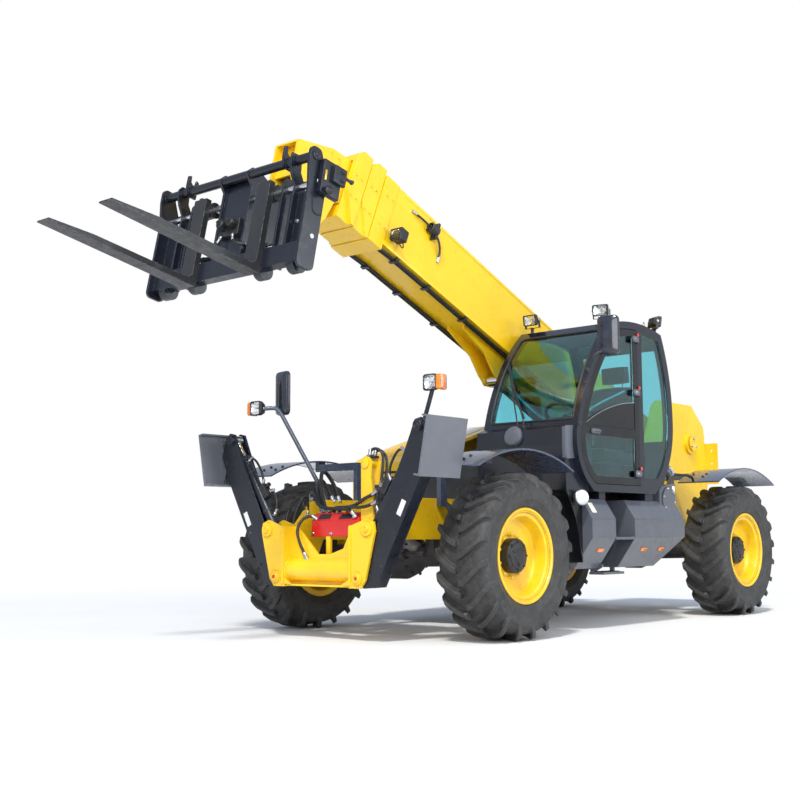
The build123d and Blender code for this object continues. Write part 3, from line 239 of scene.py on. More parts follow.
YELLOW = paint("yellow_paint", (0.93, 0.60, 0.008), (0.88, 0.53, 0.006), (0.42, 0.26, 0.06), 0.30, 0.45, 0.22)
RIM_YELLOW = paint("rim_yellow", (0.93, 0.61, 0.008), (0.86, 0.50, 0.005), (0.35, 0.20, 0.04), 0.34, 0.35,
                   0.4, soften=0.003)
STEEL = paint("dark_steel", (0.007, 0.009, 0.017), (0.011, 0.015, 0.026), (0.06, 0.06, 0.062), 0.34, 0.10,
              0.14)
CAB_BLACK = paint("cab_black", (0.006, 0.008, 0.015), (0.010, 0.013, 0.023), (0.06, 0.06, 0.06), 0.20, 0.35,
                  0.08)
FENDER = paint("fender_blue_black", (0.040, 0.055, 0.095), (0.050, 0.068, 0.115), (0.14, 0.14, 0.15), 0.24,
               0.7, 0.18)
GREY = paint("grey_paint", (0.075, 0.085, 0.105), (0.090, 0.100, 0.125), (0.16, 0.15, 0.14), 0.36, 0.35, 0.3)
PAD_GREY = paint("pad_grey", (0.11, 0.12, 0.145), (0.13, 0.14, 0.165), (0.2, 0.19, 0.18), 0.45, 0.15, 0.3,
                 wear=(0.3, 0.3, 0.31))
RED = paint("red_paint", (0.72, 0.012, 0.008), (0.60, 0.010, 0.008), (0.25, 0.05, 0.04), 0.32, 0.5, 0.3)
WHITE = paint("white_panel", (0.72, 0.73, 0.74), (0.66, 0.67, 0.68), (0.4, 0.38, 0.35), 0.35, 0.4, 0.2)
FORK = paint("fork_black", (0.014, 0.015, 0.018), (0.022, 0.023, 0.027), (0.09, 0.085, 0.08), 0.42, 0.1, 0.3,
             wear=(0.36, 0.36, 0.37))
CARRIAGE = paint("carriage_blue_black", (0.005, 0.007, 0.015), (0.009, 0.012, 0.022), (0.05, 0.05, 0.054),
                 0.30, 0.10, 0.12,
                 wear=(0.12, 0.13, 0.15))
CAST = plain("cast_iron", (0.022, 0.022, 0.024), 0.55, 90.0, 0.35)
BLACK = plain("black_plastic", (0.010, 0.010, 0.012), 0.42, 160.0, 0.12)
HOSE = plain("hose_rubber", (0.012, 0.012, 0.013), 0.36, 300.0, 0.2)
PADS = plain("wear_pad", (0.55, 0.52, 0.44), 0.6, 60.0)
INSIDE = plain("cab_trim", (0.030, 0.032, 0.036), 0.6, 200.0, 0.3)
AMBER = plain("amber_lens", (0.90, 0.20, 0.01), 0.15, 500.0, 0.05, Coat_Weight=0.6)
CHROME = plain("polished_rod", (0.62, 0.63, 0.66), 0.14, 40.0, 0.02, Metallic=1.0)
STEEL_BARE = plain("bare_steel", (0.42, 0.43, 0.45), 0.32, 80.0, 0.08, Metallic=1.0)


def tyre_rubber():
    n = Nodes("tyre_rubber")
    base = n.mix(n.ramp(n.noise(5.0, 8, 0.6), 0.35, 0.7), (0.020, 0.020, 0.021), (0.050, 0.049, 0.048))
    base = n.mix(n.math("MULTIPLY", n.ramp(n.noise(26.0, 8, 0.7), 0.5, 0.8), 0.5), base, (0.12, 0.115, 0.105))
    # Edges of the lugs and shoulders lightened evenly toward grey: painted highlight.
    edge = n.math("MULTIPLY", n.edges(0.010), 0.35)
    base = n.mix(edge, base, (0.13, 0.13, 0.13))
    normal = n.bump(n.noise(140.0, 6), 0.25, 0.002, 0.006)
    return n.shader(base, n.ramp(n.noise(14.0, 5), 0.3, 0.7, 0.5, 0.72), normal)


def clear_glass(name, colour, rough=0.015):
    n = Nodes(name)
    spread = n.ramp(n.noise(3.0, 6), 0.45, 0.8, rough, rough + 0.03)
    return n.shader(colour, spread, None, Transmission_Weight=1.0, IOR=1.45, Coat_Weight=0.3)


def cloth():
    n = Nodes("seat_cloth")
    wave = n.add("ShaderNodeTexWave", wave_type="BANDS")
    wave.inputs["Scale"].default_value = 180
    n.link(n.coord, wave.inputs["Vector"])
    base = n.mix(n.ramp(n.noise(40.0, 5), 0.3, 0.7), (0.020, 0.020, 0.024), (0.045, 0.045, 0.052))
    return n.shader(base, 0.85, n.bump(wave.outputs["Fac"], 0.3, 0.001), Sheen_Weight=0.4)


# Lighter slate blue for the right stalk: a painted sky reflection on its dark paint; the left stalk keeps the
# dark steel.
STALK_PAINTED_REFLECTION = paint("stalk_painted_sky_reflection", (0.060, 0.080, 0.120), (0.070, 0.092, 0.135), (0.12, 0.12, 0.12), 0.28, 0.6,
                   0.1)
TRIM_GREY = paint("trim_grey", (0.085, 0.095, 0.120), (0.10, 0.11, 0.14), (0.2, 0.2, 0.2), 0.40, 0.2, 0.15)
PLATE_PALE = paint("blank_plate", (0.80, 0.78, 0.62), (0.76, 0.74, 0.58), (0.4, 0.38, 0.35), 0.4, 0.3, 0.15)
GLOSS_BLACK = plain("gloss_black", (0.002, 0.0025, 0.004), 0.22, 30.0, 0.02, Coat_Weight=0.1)
MIRROR_SHELL = plain("mirror_shell", (0.012, 0.016, 0.028), 0.22, 120.0, 0.05, Coat_Weight=0.5)
REFLECTOR = plain("lamp_reflector", (0.85, 0.86, 0.88), 0.12, 60.0, 0.05, Metallic=1.0)
AMBER_METAL = plain("brass_tongue", (0.80, 0.50, 0.10), 0.30, 60.0, 0.05, Metallic=1.0)
RED_LENS = plain("red_lens", (0.60, 0.010, 0.008), 0.12, 500.0, 0.05, Coat_Weight=0.6)
TEAL_BAR = plain("glass_edge", (0.16, 0.55, 0.58), 0.15, 100.0, 0.02, Coat_Weight=0.6)
RUBBER = tyre_rubber()
TINT = clear_glass("tinted_glass", (0.36, 0.76, 0.82))
LENS = clear_glass("lamp_lens", (0.93, 0.95, 0.97), 0.03)
CLOTH = cloth()

BY_SLOT = {
    "yellow_paint": YELLOW, "steel_dark": STEEL, "grey_paint": GREY, "red_paint": RED, "cast_dark": CAST,
    "tyre_rubber": RUBBER, "glass": TINT, "plastic_black": BLACK, "seat_cloth": CLOTH,
    "shaft_steel": CHROME, "pad_plastic": PADS,
}
BY_NODE = {
    "fenders": FENDER, "cab_shell": CAB_BLACK, "door_frame": GLOSS_BLACK, "cab_cowl": CAB_BLACK,
    "fork_carriage": CARRIAGE, "forks": FORK, "foot_pad_left": PAD_GREY, "foot_pad_right": PAD_GREY,
    "cab_console": INSIDE, "leg_left": CARRIAGE, "leg_right": CARRIAGE,
}
slots = {part["node"]: part["material_slot"] for part in frame["record"]["subparts"]}
for name, node in frame["nodes"].items():
    node.data.materials.clear()
    node.data.materials.append(BY_NODE.get(name, BY_SLOT[slots[name]]))

# Mesh helpers


def piece(name, mesh, material, body, smooth=None):
    """Object from a mesh, riding on a body."""
    obj = bpy.data.objects.new(name, mesh)
    scene.collection.objects.link(obj)
    for item in (material if isinstance(material, list) else [material]):
        mesh.materials.append(item)
    if smooth is not None:
        mesh.shade_smooth()
        mesh.set_sharp_from_angle(angle=radians(smooth))
    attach(obj, body)
    return obj


def mesh_of(bm, name):
    mesh = bpy.data.meshes.new(name)
    bm.to_mesh(mesh)
    bm.free()
    return mesh


def revolved(profile, steps=96, close=False):
    """bmesh of a profile of (radius, y) turned about Y."""
    bm = bmesh.new()
    rings = []
    for k in range(steps):
        a = 2 * pi * k / steps
        rings.append([bm.verts.new((r * cos(a), y, r * sin(a))) for r, y in profile])
    count = len(profile)
    for k in range(steps):
        a, b = rings[k], rings[(k + 1) % steps]
        for i in range(count if close else count - 1):
            j = (i + 1) % count
            if profile[i][0] < 1e-6 and profile[j][0] < 1e-6:
                continue
            bm.faces.new((a[i], a[j], b[j], b[i]))
    bmesh.ops.remove_doubles(bm, verts=bm.verts, dist=1e-6)
    bmesh.ops.recalc_face_normals(bm, faces=bm.faces)
    return bm


def join(bm, other, matrix=None):
    """Add a bmesh to another, moved by a matrix."""
    mesh = bpy.data.meshes.new("part")
    if matrix is not None:
        bmesh.ops.transform(other, matrix=matrix, verts=other.verts)
        if matrix.determinant() < 0:
            bmesh.ops.reverse_faces(other, faces=other.faces)
    other.to_mesh(mesh)
    other.free()
    bm.from_mesh(mesh)
    bpy.data.meshes.remove(mesh)


def rounded_box(size, radius=0.004, segments=2):
    bm = bmesh.new()
    bmesh.ops.create_cube(bm, size=1)
    bmesh.ops.scale(bm, vec=size, verts=bm.verts)
    bmesh.ops.bevel(bm, geom=bm.edges[:], offset=min(radius, min(size) * 0.45), segments=segments,
                    profile=0.7, affect="EDGES")
    return bm


def turn_to(direction, point=(0, 0, 0)):
    """Matrix that sends +Y along a direction, at a point."""
    m = Vector(direction).to_track_quat("Y", "Z").to_matrix().to_4x4()
    m.translation = Vector(point)
    return m


def prism(points, thick, bevel=0.0, segments=2):
    """bmesh of an outline in x and z, extruded by a thickness along +Y."""
    bm = bmesh.new()
    face = bm.faces.new([bm.verts.new((x, 0, z)) for x, z in points])
    out = bmesh.ops.extrude_face_region(bm, geom=[face])
    verts = [v for v in out["geom"] if isinstance(v, bmesh.types.BMVert)]
    bmesh.ops.translate(bm, vec=(0, thick, 0), verts=verts)
    bmesh.ops.recalc_face_normals(bm, faces=bm.faces)
    if bevel:
        bmesh.ops.bevel(bm, geom=bm.edges[:], offset=bevel, segments=segments, affect="EDGES", profile=0.7)
    return bm


def hex_bolt(radius, height):
    """Bolt head with a washer, standing along +Y."""
    bm = revolved([(0, 0), (radius * 1.5, 0), (radius * 1.5, height * 0.18), (radius * 1.45, height * 0.25),
                   (0, height * 0.25)], 24)
    points = [(radius * cos(pi / 3 * k), radius * sin(pi / 3 * k)) for k in range(6)]
    head = prism(points, height, radius * 0.12, 1)
    join(bm, head)
    return bm


def tube(points, radius, steps=10, cap=True):
    """bmesh of a round tube along a smooth line through points."""
    curve = bpy.data.curves.new("line", "CURVE")
    curve.dimensions = "3D"
    spline = curve.splines.new("NURBS")
    spline.points.add(len(points) - 1)
    for spot, p in zip(spline.points, points):
        spot.co = (*p, 1)
    spline.order_u = 3
    spline.use_endpoint_u = True
    spline.resolution_u = 10
    curve.bevel_depth = radius
    curve.bevel_resolution = steps // 2
    curve.use_fill_caps = cap
    obj = bpy.data.objects.new("line", curve)
    mesh = bpy.data.meshes.new_from_object(obj)
    bm = bmesh.new()
    bm.from_mesh(mesh)
    bpy.data.objects.remove(obj)
    bpy.data.curves.remove(curve)
    bpy.data.meshes.remove(mesh)
    return bm


# Tyres and rims

LUGS = 20


def tyre_mesh(side):
    """Carcass with ribbed sidewalls and staggered lugs that wrap over the shoulder."""
    profile = [(0.300, 0.150), (0.302, 0.165), (0.336, 0.167), (0.344, 0.176), (0.362, 0.186), (0.392, 0.199),
               (0.396, 0.203), (0.402, 0.203), (0.406, 0.2005), (0.440, 0.204), (0.470, 0.2035),
               (0.474, 0.205),
               (0.482, 0.205), (0.488, 0.200), (0.512, 0.192), (0.530, 0.172), (0.540, 0.140), (0.545, 0.080),
               (0.546, 0.0)]
    line = profile + [(r, -y) for r, y in reversed(profile[:-1])]
    bm = revolved(line, 128, close=True)
    stations = [
        (0.004, 0.585, 0.532, 0.0, 3.9, 5.9), (0.050, 0.586, 0.530, 1.4, 4.2, 6.2),
        (0.110, 0.585, 0.525, 5.8, 4.3, 6.3),
        (0.150, 0.582, 0.515, 9.2, 4.3, 6.2), (0.183, 0.570, 0.500, 12.0, 4.2, 5.9),
        (0.202, 0.542, 0.480, 13.4, 4.1, 5.6),
        (0.2045, 0.505, 0.455, 14.2, 3.9, 5.0), (0.2035, 0.470, 0.440, 14.6, 3.2, 4.2)]
    for k in range(LUGS):
        for half in (1, -1):
            start = -90 + 360 / LUGS * (k + (0 if half > 0 else 0.5))
            lug = bmesh.new()
            rows = []
            for i, (y, top, base, turn, wide, foot) in enumerate(stations):
                y_in = max(0.004, y - 0.03) if i > 3 else y
                row = []
                for radius, width, yy in ((top, wide, y), (top, -wide, y), (base, -foot, y_in),
                                          (base, foot, y_in)):
                    a = radians(start + turn + width / 2)
                    row.append(lug.verts.new((radius * cos(a), half * yy, radius * sin(a))))
                rows.append(row)
            for a, b in zip(rows, rows[1:]):
                for i in range(4):
                    lug.faces.new((a[i], a[(i + 1) % 4], b[(i + 1) % 4], b[i]))
            lug.faces.new(rows[0])
            lug.faces.new(rows[-1])
            bmesh.ops.recalc_face_normals(lug, faces=lug.faces)
            top_edges = [e for e in lug.edges if len(e.link_faces) == 2
                         and e.calc_face_angle(0) > 0.5]
            bmesh.ops.bevel(lug, geom=top_edges, offset=0.004, segments=2, affect="EDGES", profile=0.6)
            join(bm, lug)
    if side < 0:
        bmesh.ops.scale(bm, vec=(1, -1, 1), verts=bm.verts)
        bmesh.ops.reverse_faces(bm, faces=bm.faces)
    return mesh_of(bm, "tyre")


def rim_mesh(side):
    """Deep yellow dish with a rolled flange, a ledge and a cone down to the hub."""
    profile = [(0.100, -0.060), (0.110, -0.056), (0.110, 0.010), (0.150, 0.012), (0.275, 0.012), (0.284, 0.0),
               (0.284, -0.150), (0.290, -0.172), (0.322, -0.177), (0.332, -0.172), (0.334, -0.168),
               (0.330, -0.1655),
               (0.304, -0.1655), (0.2995, -0.160), (0.2995, 0.160), (0.304, 0.1655), (0.330, 0.1655),
               (0.334, 0.168),
               (0.334, 0.174), (0.329, 0.177), (0.318, 0.1765), (0.312, 0.170), (0.309, 0.160),
               (0.304, 0.154),
               (0.296, 0.152), (0.284, 0.152), (0.276, 0.148), (0.272, 0.138), (0.268, 0.090), (0.262, 0.060),
               (0.258, 0.054), (0.250, 0.050), (0.232, 0.046), (0.160, 0.040), (0.150, 0.036), (0.142, 0.030),
               (0.100, 0.030)]
    bm = revolved(profile, 128, close=True)
    for k in range(10):
        a = radians(36 * k + 18)
        join(bm, hex_bolt(0.013, 0.020), Matrix.Translation((0.150 * cos(a), 0.036, 0.150 * sin(a))))
    valve = tube([(0.245, 0.045, 0.02), (0.245, 0.075, 0.02), (0.250, 0.095, 0.02)], 0.006, 8)
    join(bm, valve)
    if side < 0:
        bmesh.ops.scale(bm, vec=(1, -1, 1), verts=bm.verts)
        bmesh.ops.reverse_faces(bm, faces=bm.faces)
    return mesh_of(bm, "rim")


def hub_mesh(side):
    """Black planetary hub with its cover bolts and three ribs on its cap."""
    bm = revolved([(0, -0.059), (0.104, -0.059), (0.108, -0.05), (0.122, 0.020), (0.122, 0.088),
                   (0.118, 0.096),
                   (0.110, 0.100), (0.092, 0.102), (0.088, 0.108), (0.072, 0.112), (0.050, 0.113),
                   (0.046, 0.118),
                   (0.020, 0.120), (0, 0.120)], 72)
    for k in range(8):
        a = radians(45 * k)
        join(bm, hex_bolt(0.008, 0.012), Matrix.Translation((0.100 * cos(a), 0.100, 0.100 * sin(a))))
    for k in range(3):
        a = radians(120 * k + 30)
        rib = rounded_box((0.060, 0.012, 0.014), 0.003)
        join(bm, rib, Matrix.Rotation(-a, 4, "Y") @ Matrix.Translation((0.045, 0.113, 0)))
    if side < 0:
        bmesh.ops.scale(bm, vec=(1, -1, 1), verts=bm.verts)
        bmesh.ops.reverse_faces(bm, faces=bm.faces)
    return mesh_of(bm, "hub")


for side, names in ((1, ("fl", "rl")), (-1, ("fr", "rr"))):
    shapes = [(tyre_mesh(side), RUBBER, "tyre_", 30), (rim_mesh(side), RIM_YELLOW, "rim_", 32),
              (hub_mesh(side), BLACK, "hub_", 35)]
    for mesh, material, label, smooth in shapes:
        mesh.materials.append(material)
        mesh.shade_smooth()
        mesh.set_sharp_from_angle(angle=radians(smooth))
        for name in names:
            obj = bpy.data.objects.new(label + name + "_look", mesh)
            scene.collection.objects.link(obj)
            obj.matrix_world = Matrix.Translation(WHEELS[name])
            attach(obj, "wheel_" + name)
            if label == "tyre_":
                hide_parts("tyre_" + name)
            elif label == "rim_":
                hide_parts("rim_" + name)

# Frames of the moving bodies

move = Matrix.Translation


def spin(angle, axis):
    """Matrix of a turn in degrees."""
    return Matrix.Rotation(radians(angle), 4, axis)


FORWARD, BACK, LEFT, RIGHT, UP = (1, 0, 0), (-1, 0, 0), (0, 1, 0), (0, -1, 0), (0, 0, 1)
BOOM_PIVOT = (-2.2, 0, 1.62)
CARRIAGE_PIN = (5.364, 0, -1.003)       # along and across the boom
LEG_PIN = (0, 0.403, 0.440)
CYLINDER_PIN = (0, 0.490, 0.776)
DATUM = move(SHIFT)
BOOM = DATUM @ move(BOOM_PIVOT) @ spin(-22, "Y")
HEAD = BOOM @ move(CARRIAGE_PIN) @ spin(10, "Y")
FLIP = Matrix.Diagonal((1, -1, 1, 1))
MIRRORED = {1: DATUM, -1: DATUM @ FLIP}
LEG_LINE = move(LEG_PIN) @ Matrix.Rotation(-atan2(0.527, 1.014), 4, "X")
LEG_CYLINDER = move(CYLINDER_PIN) @ Matrix.Rotation(-atan2(0.440, 0.678), 4, "X")

# Shapes that repeat. A piece gathers every mesh that is added under its name.

batches = {}


def add(name, material, bm, frame=DATUM, body="chassis"):
    if name not in batches:
        batches[name] = (bmesh.new(), material, body)
    join(batches[name][0], bm, frame)


def facing(normal, point):
    """Matrix that sends +X along a normal, at a point."""
    m = Vector(normal).to_track_quat("X", "Z").to_matrix().to_4x4()
    m.translation = Vector(point)
    return m


def round_rect(w, h, r, n=5):
    """Points of a rounded rectangle in y and z."""
    points = []
    for k, (sy, sz) in enumerate(((1, 1), (-1, 1), (-1, -1), (1, -1))):
        for i in range(n + 1):
            a = pi / 2 * (k + i / n)
            points.append((sy * (w / 2 - r) + r * cos(a), sz * (h / 2 - r) + r * sin(a)))
    return points


def lofted(loops):
    """bmesh of equal rings joined in order, closed at both ends."""
    bm = bmesh.new()
    rings = [[bm.verts.new(p) for p in loop] for loop in loops]
    count = len(rings[0])
    for a, b in zip(rings, rings[1:]):
        for i in range(count):
            bm.faces.new((a[i], a[(i + 1) % count], b[(i + 1) % count], b[i]))
    bm.faces.new(rings[0])
    bm.faces.new(rings[-1])
    bmesh.ops.recalc_face_normals(bm, faces=bm.faces)
    return bm


def stepped(w, h, steps, r=0.16):
    """Lofted form along +X from (x, scale) steps of one rounded rectangle."""
    return lofted([[(x, y, z) for y, z in round_rect(w * k, h * k, r * min(w, h) * k)] for x, k in steps])


def plaque(w, h, t, r=0.12):
    """Thin plate with rounded corners and a softened edge, its back at x = 0."""
    return stepped(w, h, [(0, 1), (t * 0.6, 1), (t, 1 - t / max(w, h))], r)


def block(name, material, size, point, radius=0.004, frame=DATUM, body="chassis", segments=2):
    """Rounded box centred on a point of a frame."""
    add(name, material, rounded_box(size, radius, segments), frame @ move(point), body)


def turned(name, material, profile, direction, point, steps=32, frame=DATUM, body="chassis", close=False):
    """Profile of (radius, height) turned about a direction from a point."""
    add(name, material, revolved(profile, steps, close), frame @ turn_to(direction, point), body)


def plate(name, material, size, steps, r, normal, point, frame=DATUM, body="chassis"):
    """Stepped plate of a width and height on a face with a normal."""
    add(name, material, stepped(*size, steps, r), frame @ facing(normal, point), body)


def pipe(name, material, points, radius, steps=8, frame=DATUM, body="chassis"):
    add(name, material, tube(points, radius, steps), frame, body)


def pin_head(name, material, point, direction, radius, frame=DATUM, body="chassis"):
    """Pin end with a chamfer, a keeper ring and a small centre."""
    profile = [(0, -0.004), (radius, -0.004), (radius, 0.006), (radius - 0.003, 0.009),
               (radius * 0.62, 0.009),
               (radius * 0.58, 0.005), (radius * 0.30, 0.005), (radius * 0.26, 0.010), (0, 0.010)]
    turned(name, material, profile, direction, point, 32, frame, body)


def bolt(name, point, direction, radius=0.009, frame=DATUM, body="chassis", material=STEEL_BARE):
    add(name, material, hex_bolt(radius, radius * 1.3), frame @ turn_to(direction, point), body)


def hose(name, points, radius=0.011, frame=DATUM, body="chassis", ends=True):
    """Formed hose clamped at both ends, with a crimped fitting on each."""
    pipe(name, HOSE, points, radius, 10, frame, body)
    if not ends:
        return
    r = radius
    profile = [(0, -0.006), (r * 1.5, -0.006), (r * 1.6, 0.0), (r * 1.6, 0.014), (r * 1.25, 0.018),
               (r * 1.3, 0.045), (r * 1.2, 0.048), (0, 0.048)]
    for a, b in ((points[0], points[1]), (points[-1], points[-2])):
        turned(name + "_ends", STEEL_BARE, profile, Vector(b) - Vector(a), a, 16, frame, body)


def bead(radius, height, thick, angles=(0, 1.05, 2.1, 3.14, 4.2, 5.2)):
    """Closed profile of a round bead, for a weld or a ring."""
    return [(radius + thick * cos(a), height + thick * sin(a)) for a in angles]


def lamp_unit(name, frame, w, h, d, body="chassis"):
    """Lamp facing +X: black shell with a bezel, bright reflector, bulb and clear lens."""
    front = d / 2
    shell = [(-front, 0.45), (-0.38 * d, 0.66), (0.05 * d, 0.95), (0.18 * d, 1), (front - 0.003, 1),
             (front, 0.97), (front, 0.87), (front - 0.010, 0.845), (0.02 * d, 0.54)]
    bowl = [(0.03 * d, 0.50), (front - 0.012, 0.838), (front - 0.012, 0.79), (0.16 * d, 0.50),
            (0.10 * d, 0.16)]
    lens = [(front - 0.0095, 0.842), (front - 0.003, 0.842), (front - 0.001, 0.80)]
    bulb = [(0, 0.0), (0.007, 0.0), (0.008, 0.012), (0.006, 0.020), (0, 0.023)]
    add(name + "_shells", BLACK, stepped(w, h, shell), frame, body)
    add(name + "_reflectors", REFLECTOR, stepped(w, h, bowl, 0.2), frame, body)
    turned(name + "_bulbs", WHITE, bulb, FORWARD, (0.08 * d, 0, 0), 16, frame, body)
    add(name + "_lenses", LENS, stepped(w, h, lens), frame, body)


def mirror_unit(frame, w, h):
    """Mirror with a bulged shell towards +X and its glass set into the other side."""
    shell = [(0.030, 0.35, 0.62), (0.026, 0.62, 0.82), (0.012, 0.92, 0.96), (-0.004, 1, 1), (-0.018, 1, 1),
             (-0.023, 0.96, 0.985), (-0.023, 0.90, 0.95), (-0.018, 0.88, 0.94)]
    loops = [[(x, y, z) for y, z in round_rect(w * a, h * b, 0.22 * w * a)] for x, a, b in shell]
    add("mirror_shells", MIRROR_SHELL, lofted(loops), frame)
    add("mirror_glass", CHROME, stepped(w * 0.875, h * 0.935, [(-0.0195, 1), (-0.0165, 1)], 0.2), frame)


# Front lamps with their indicators and stalks

LAMP_X, LAMP_Y, SCREW = 2.396, 0.872, 0.047
INDICATOR = (0.036, 0.104)
LEFT_STALK = [(2.390, 0.862, 1.715), (2.392, 0.842, 1.655), (2.399, 0.742, 1.366), (2.400, 0.722, 1.315),
              (2.400, 0.690, 1.285), (2.400, 0.450, 1.045), (2.400, 0.416, 1.000)]
RIGHT_STALK = [(2.390, -0.832, 1.706), (2.360, -0.800, 1.712), (2.318, -0.752, 1.712), (2.298, -0.727, 1.672),
               (2.276, -0.700, 1.606), (2.090, -0.475, 1.065), (2.070, -0.449, 0.990)]
for s, z in ((1, 1.762), (-1, 1.710)):
    lamp_unit("front_lamp", DATUM @ move((LAMP_X, s * LAMP_Y, z)), 0.112, 0.112, 0.086)
    outer = DATUM @ move((LAMP_X, s * 0.944, z))
    add("indicator_lenses", AMBER, stepped(*INDICATOR, [(-0.026, 1), (0.030, 1), (0.040, 0.86)], 0.2), outer)
    add("indicator_backs", GREY, stepped(*INDICATOR, [(-0.042, 0.8), (-0.034, 1), (-0.0262, 1)], 0.2), outer)
    add("indicator_caps", LENS, stepped(0.010, 0.100, [(-0.024, 0.9), (0.026, 1), (0.034, 0.8)], 0.3),
        DATUM @ move((LAMP_X, s * 0.9625, z)))
    block("front_lamp_links", BLACK, (0.030, 0.022, 0.030), (LAMP_X, s * 0.928, z))
    for k in range(4):
        across, rise = (SCREW if k % 2 else -SCREW), (SCREW if k < 2 else -SCREW)
        bolt("front_lamp_screws", (LAMP_X + 0.0405, s * LAMP_Y + across, z + rise), FORWARD, 0.0022)
pipe("left_stalk", STEEL, LEFT_STALK, 0.0155, 12)
# The right stalk's lighter blue is a painted sky reflection.
pipe("right_stalk", STALK_PAINTED_REFLECTION, RIGHT_STALK, 0.0165, 12)
for s, x, z, tall in ((1, 2.400, 0.908, 0.232), (-1, 2.070, 0.953, 0.143)):
    foot = DATUM @ facing((0, s, 0), (x, s * 0.4005, z))
    add("stalk_brackets", STEEL, plaque(0.08, tall, 0.012, 0.2), foot)
    block("stalk_brackets", STEEL, (0.044, 0.036, tall * 0.5), (0.022, 0, 0.02), 0.006, foot)
    for share in (-0.36, -0.2):
        bolt("stalk_bolts", (0.012, 0, share * tall), FORWARD, 0.010, foot)

# Work lamps on the cab's roof

LAMP_STEM = [(0, 0.0), (0.030, 0.0), (0.030, 0.012), (0.016, 0.018), (0.013, 0.028), (0.013, 0.060),
             (0.017, 0.066), (0.017, 0.074), (0, 0.074)]
for x, y, yaw in ((0.470, 1.040, 15), (0.470, 0.370, 0), (-0.290, 1.090, 150)):
    top = DATUM @ move((x, y, 2.510)) @ spin(yaw, "Z") @ spin(8, "Y")
    lamp_unit("cab_lamp", top, 0.130, 0.092, 0.072)
    for s in (1, -1):
        block("cab_lamp_brackets", BLACK, (0.026, 0.004, 0.076), (-0.004, s * 0.068, -0.028), 0.0015, top)
        bolt("cab_lamp_bolts", (-0.004, s * 0.070, 0.0), (0, s, 0), 0.007, top)
    block("cab_lamp_brackets", BLACK, (0.026, 0.140, 0.004), (-0.004, 0, -0.066), 0.0015, top)
    turned("cab_lamp_stems", BLACK, LAMP_STEM, UP, (x - 0.005, y, 2.372), 24)

# Mirrors and their arms

UPPER_ARM = [(0.800, 1.300, 2.350), (0.760, 1.262, 2.352), (0.700, 1.215, 2.330), (0.600, 1.160, 2.330),
             (0.505, 1.102, 2.325)]
LOWER_ARM = [(0.868, 1.140, 1.985), (0.895, 1.185, 2.055), (0.872, 1.235, 2.100), (0.828, 1.275, 2.118),
             (0.812, 1.296, 2.160)]
RIGHT_ARM = [(2.292, -0.748, 1.925), (2.312, -0.750, 1.860), (2.306, -0.745, 1.790), (2.312, -0.748, 1.715)]
MIRROR_FOOT = [(0, 0), (0.022, 0), (0.022, 0.006), (0.014, 0.012), (0, 0.014)]
MIRROR_JOINT = [(0, -0.020), (0.014, -0.020), (0.020, -0.012), (0.020, 0.012), (0.014, 0.020), (0, 0.020)]
right_mirror = DATUM @ move((2.262, -0.752, 1.832)) @ spin(-10, "Z")
mirror_unit(DATUM @ move((0.810, 1.300, 2.238)) @ spin(15, "Z"), 0.170, 0.310)
mirror_unit(right_mirror, 0.165, 0.345)
pipe("mirror_arms", BLACK, UPPER_ARM, 0.0095, 10)
pipe("mirror_arms", BLACK, LOWER_ARM, 0.0085, 10)
for place in ((0.868, 1.146, 1.985), (0.505, 1.102, 2.325)):
    turned("mirror_feet", BLACK, MIRROR_FOOT, (0.2, 0.9, 0.1), place, 20)
for z in (0.085, -0.06):
    turned("mirror_joints", BLACK, MIRROR_JOINT, UP, (0.018, 0, z), 20, right_mirror)
pipe("mirror_joints", BLACK, RIGHT_ARM, 0.011, 10)

# Red valve cover between the legs

COVER_SIDE = [(2.332, 0.722), (2.470, 0.722), (2.470, 0.832), (2.424, 0.894), (2.340, 0.894), (2.332, 0.886)]
COVER_SLOPE = Vector((0.062, 0, 0.046)).normalized()
SLOT_RIM = [(-0.004, 1.0), (0.005, 1.0), (0.008, 0.94), (0.008, 0.86), (0.002, 0.84)]
SLOT = [(0.0, 1.0), (0.0026, 1.0), (0.003, 0.97)]
KNOB = [(0, 0), (0.007, 0), (0.007, 0.020), (0.020, 0.024), (0.024, 0.032), (0.022, 0.042), (0.010, 0.047),
        (0, 0.047)]
add("valve_cover", RED, prism(COVER_SIDE, 0.466, 0.006, 3), DATUM @ move((0, -0.215, 0)))
block("valve_cover", RED, (0.016, 0.470, 0.010), (2.470, 0.018, 0.727), 0.003)
for y in (-0.095, 0.115):
    plate("valve_cover", RED, (0.150, 0.056), SLOT_RIM, 0.2, COVER_SLOPE, (2.4475, y, 0.863))
    plate("valve_cover_slots", BLACK, (0.122, 0.045), SLOT, 0.2, COVER_SLOPE, (2.4475, y, 0.863))
for y in (-0.195, -0.02, 0.235):
    bolt("valve_cover_bolts", (2.4715, y, 0.745), FORWARD)
for y in (-0.04, 0.18):
    block("valve_cover_posts", YELLOW, (0.024, 0.040, 0.19), (2.4675, y, 0.63))
turned("red_knob", RED, KNOB, (0.35, 0, 1), (2.40, 0.075, 0.893), 28)

# Formed hoses at the front: radius and route. Those over the cover stay under the lowered boom.

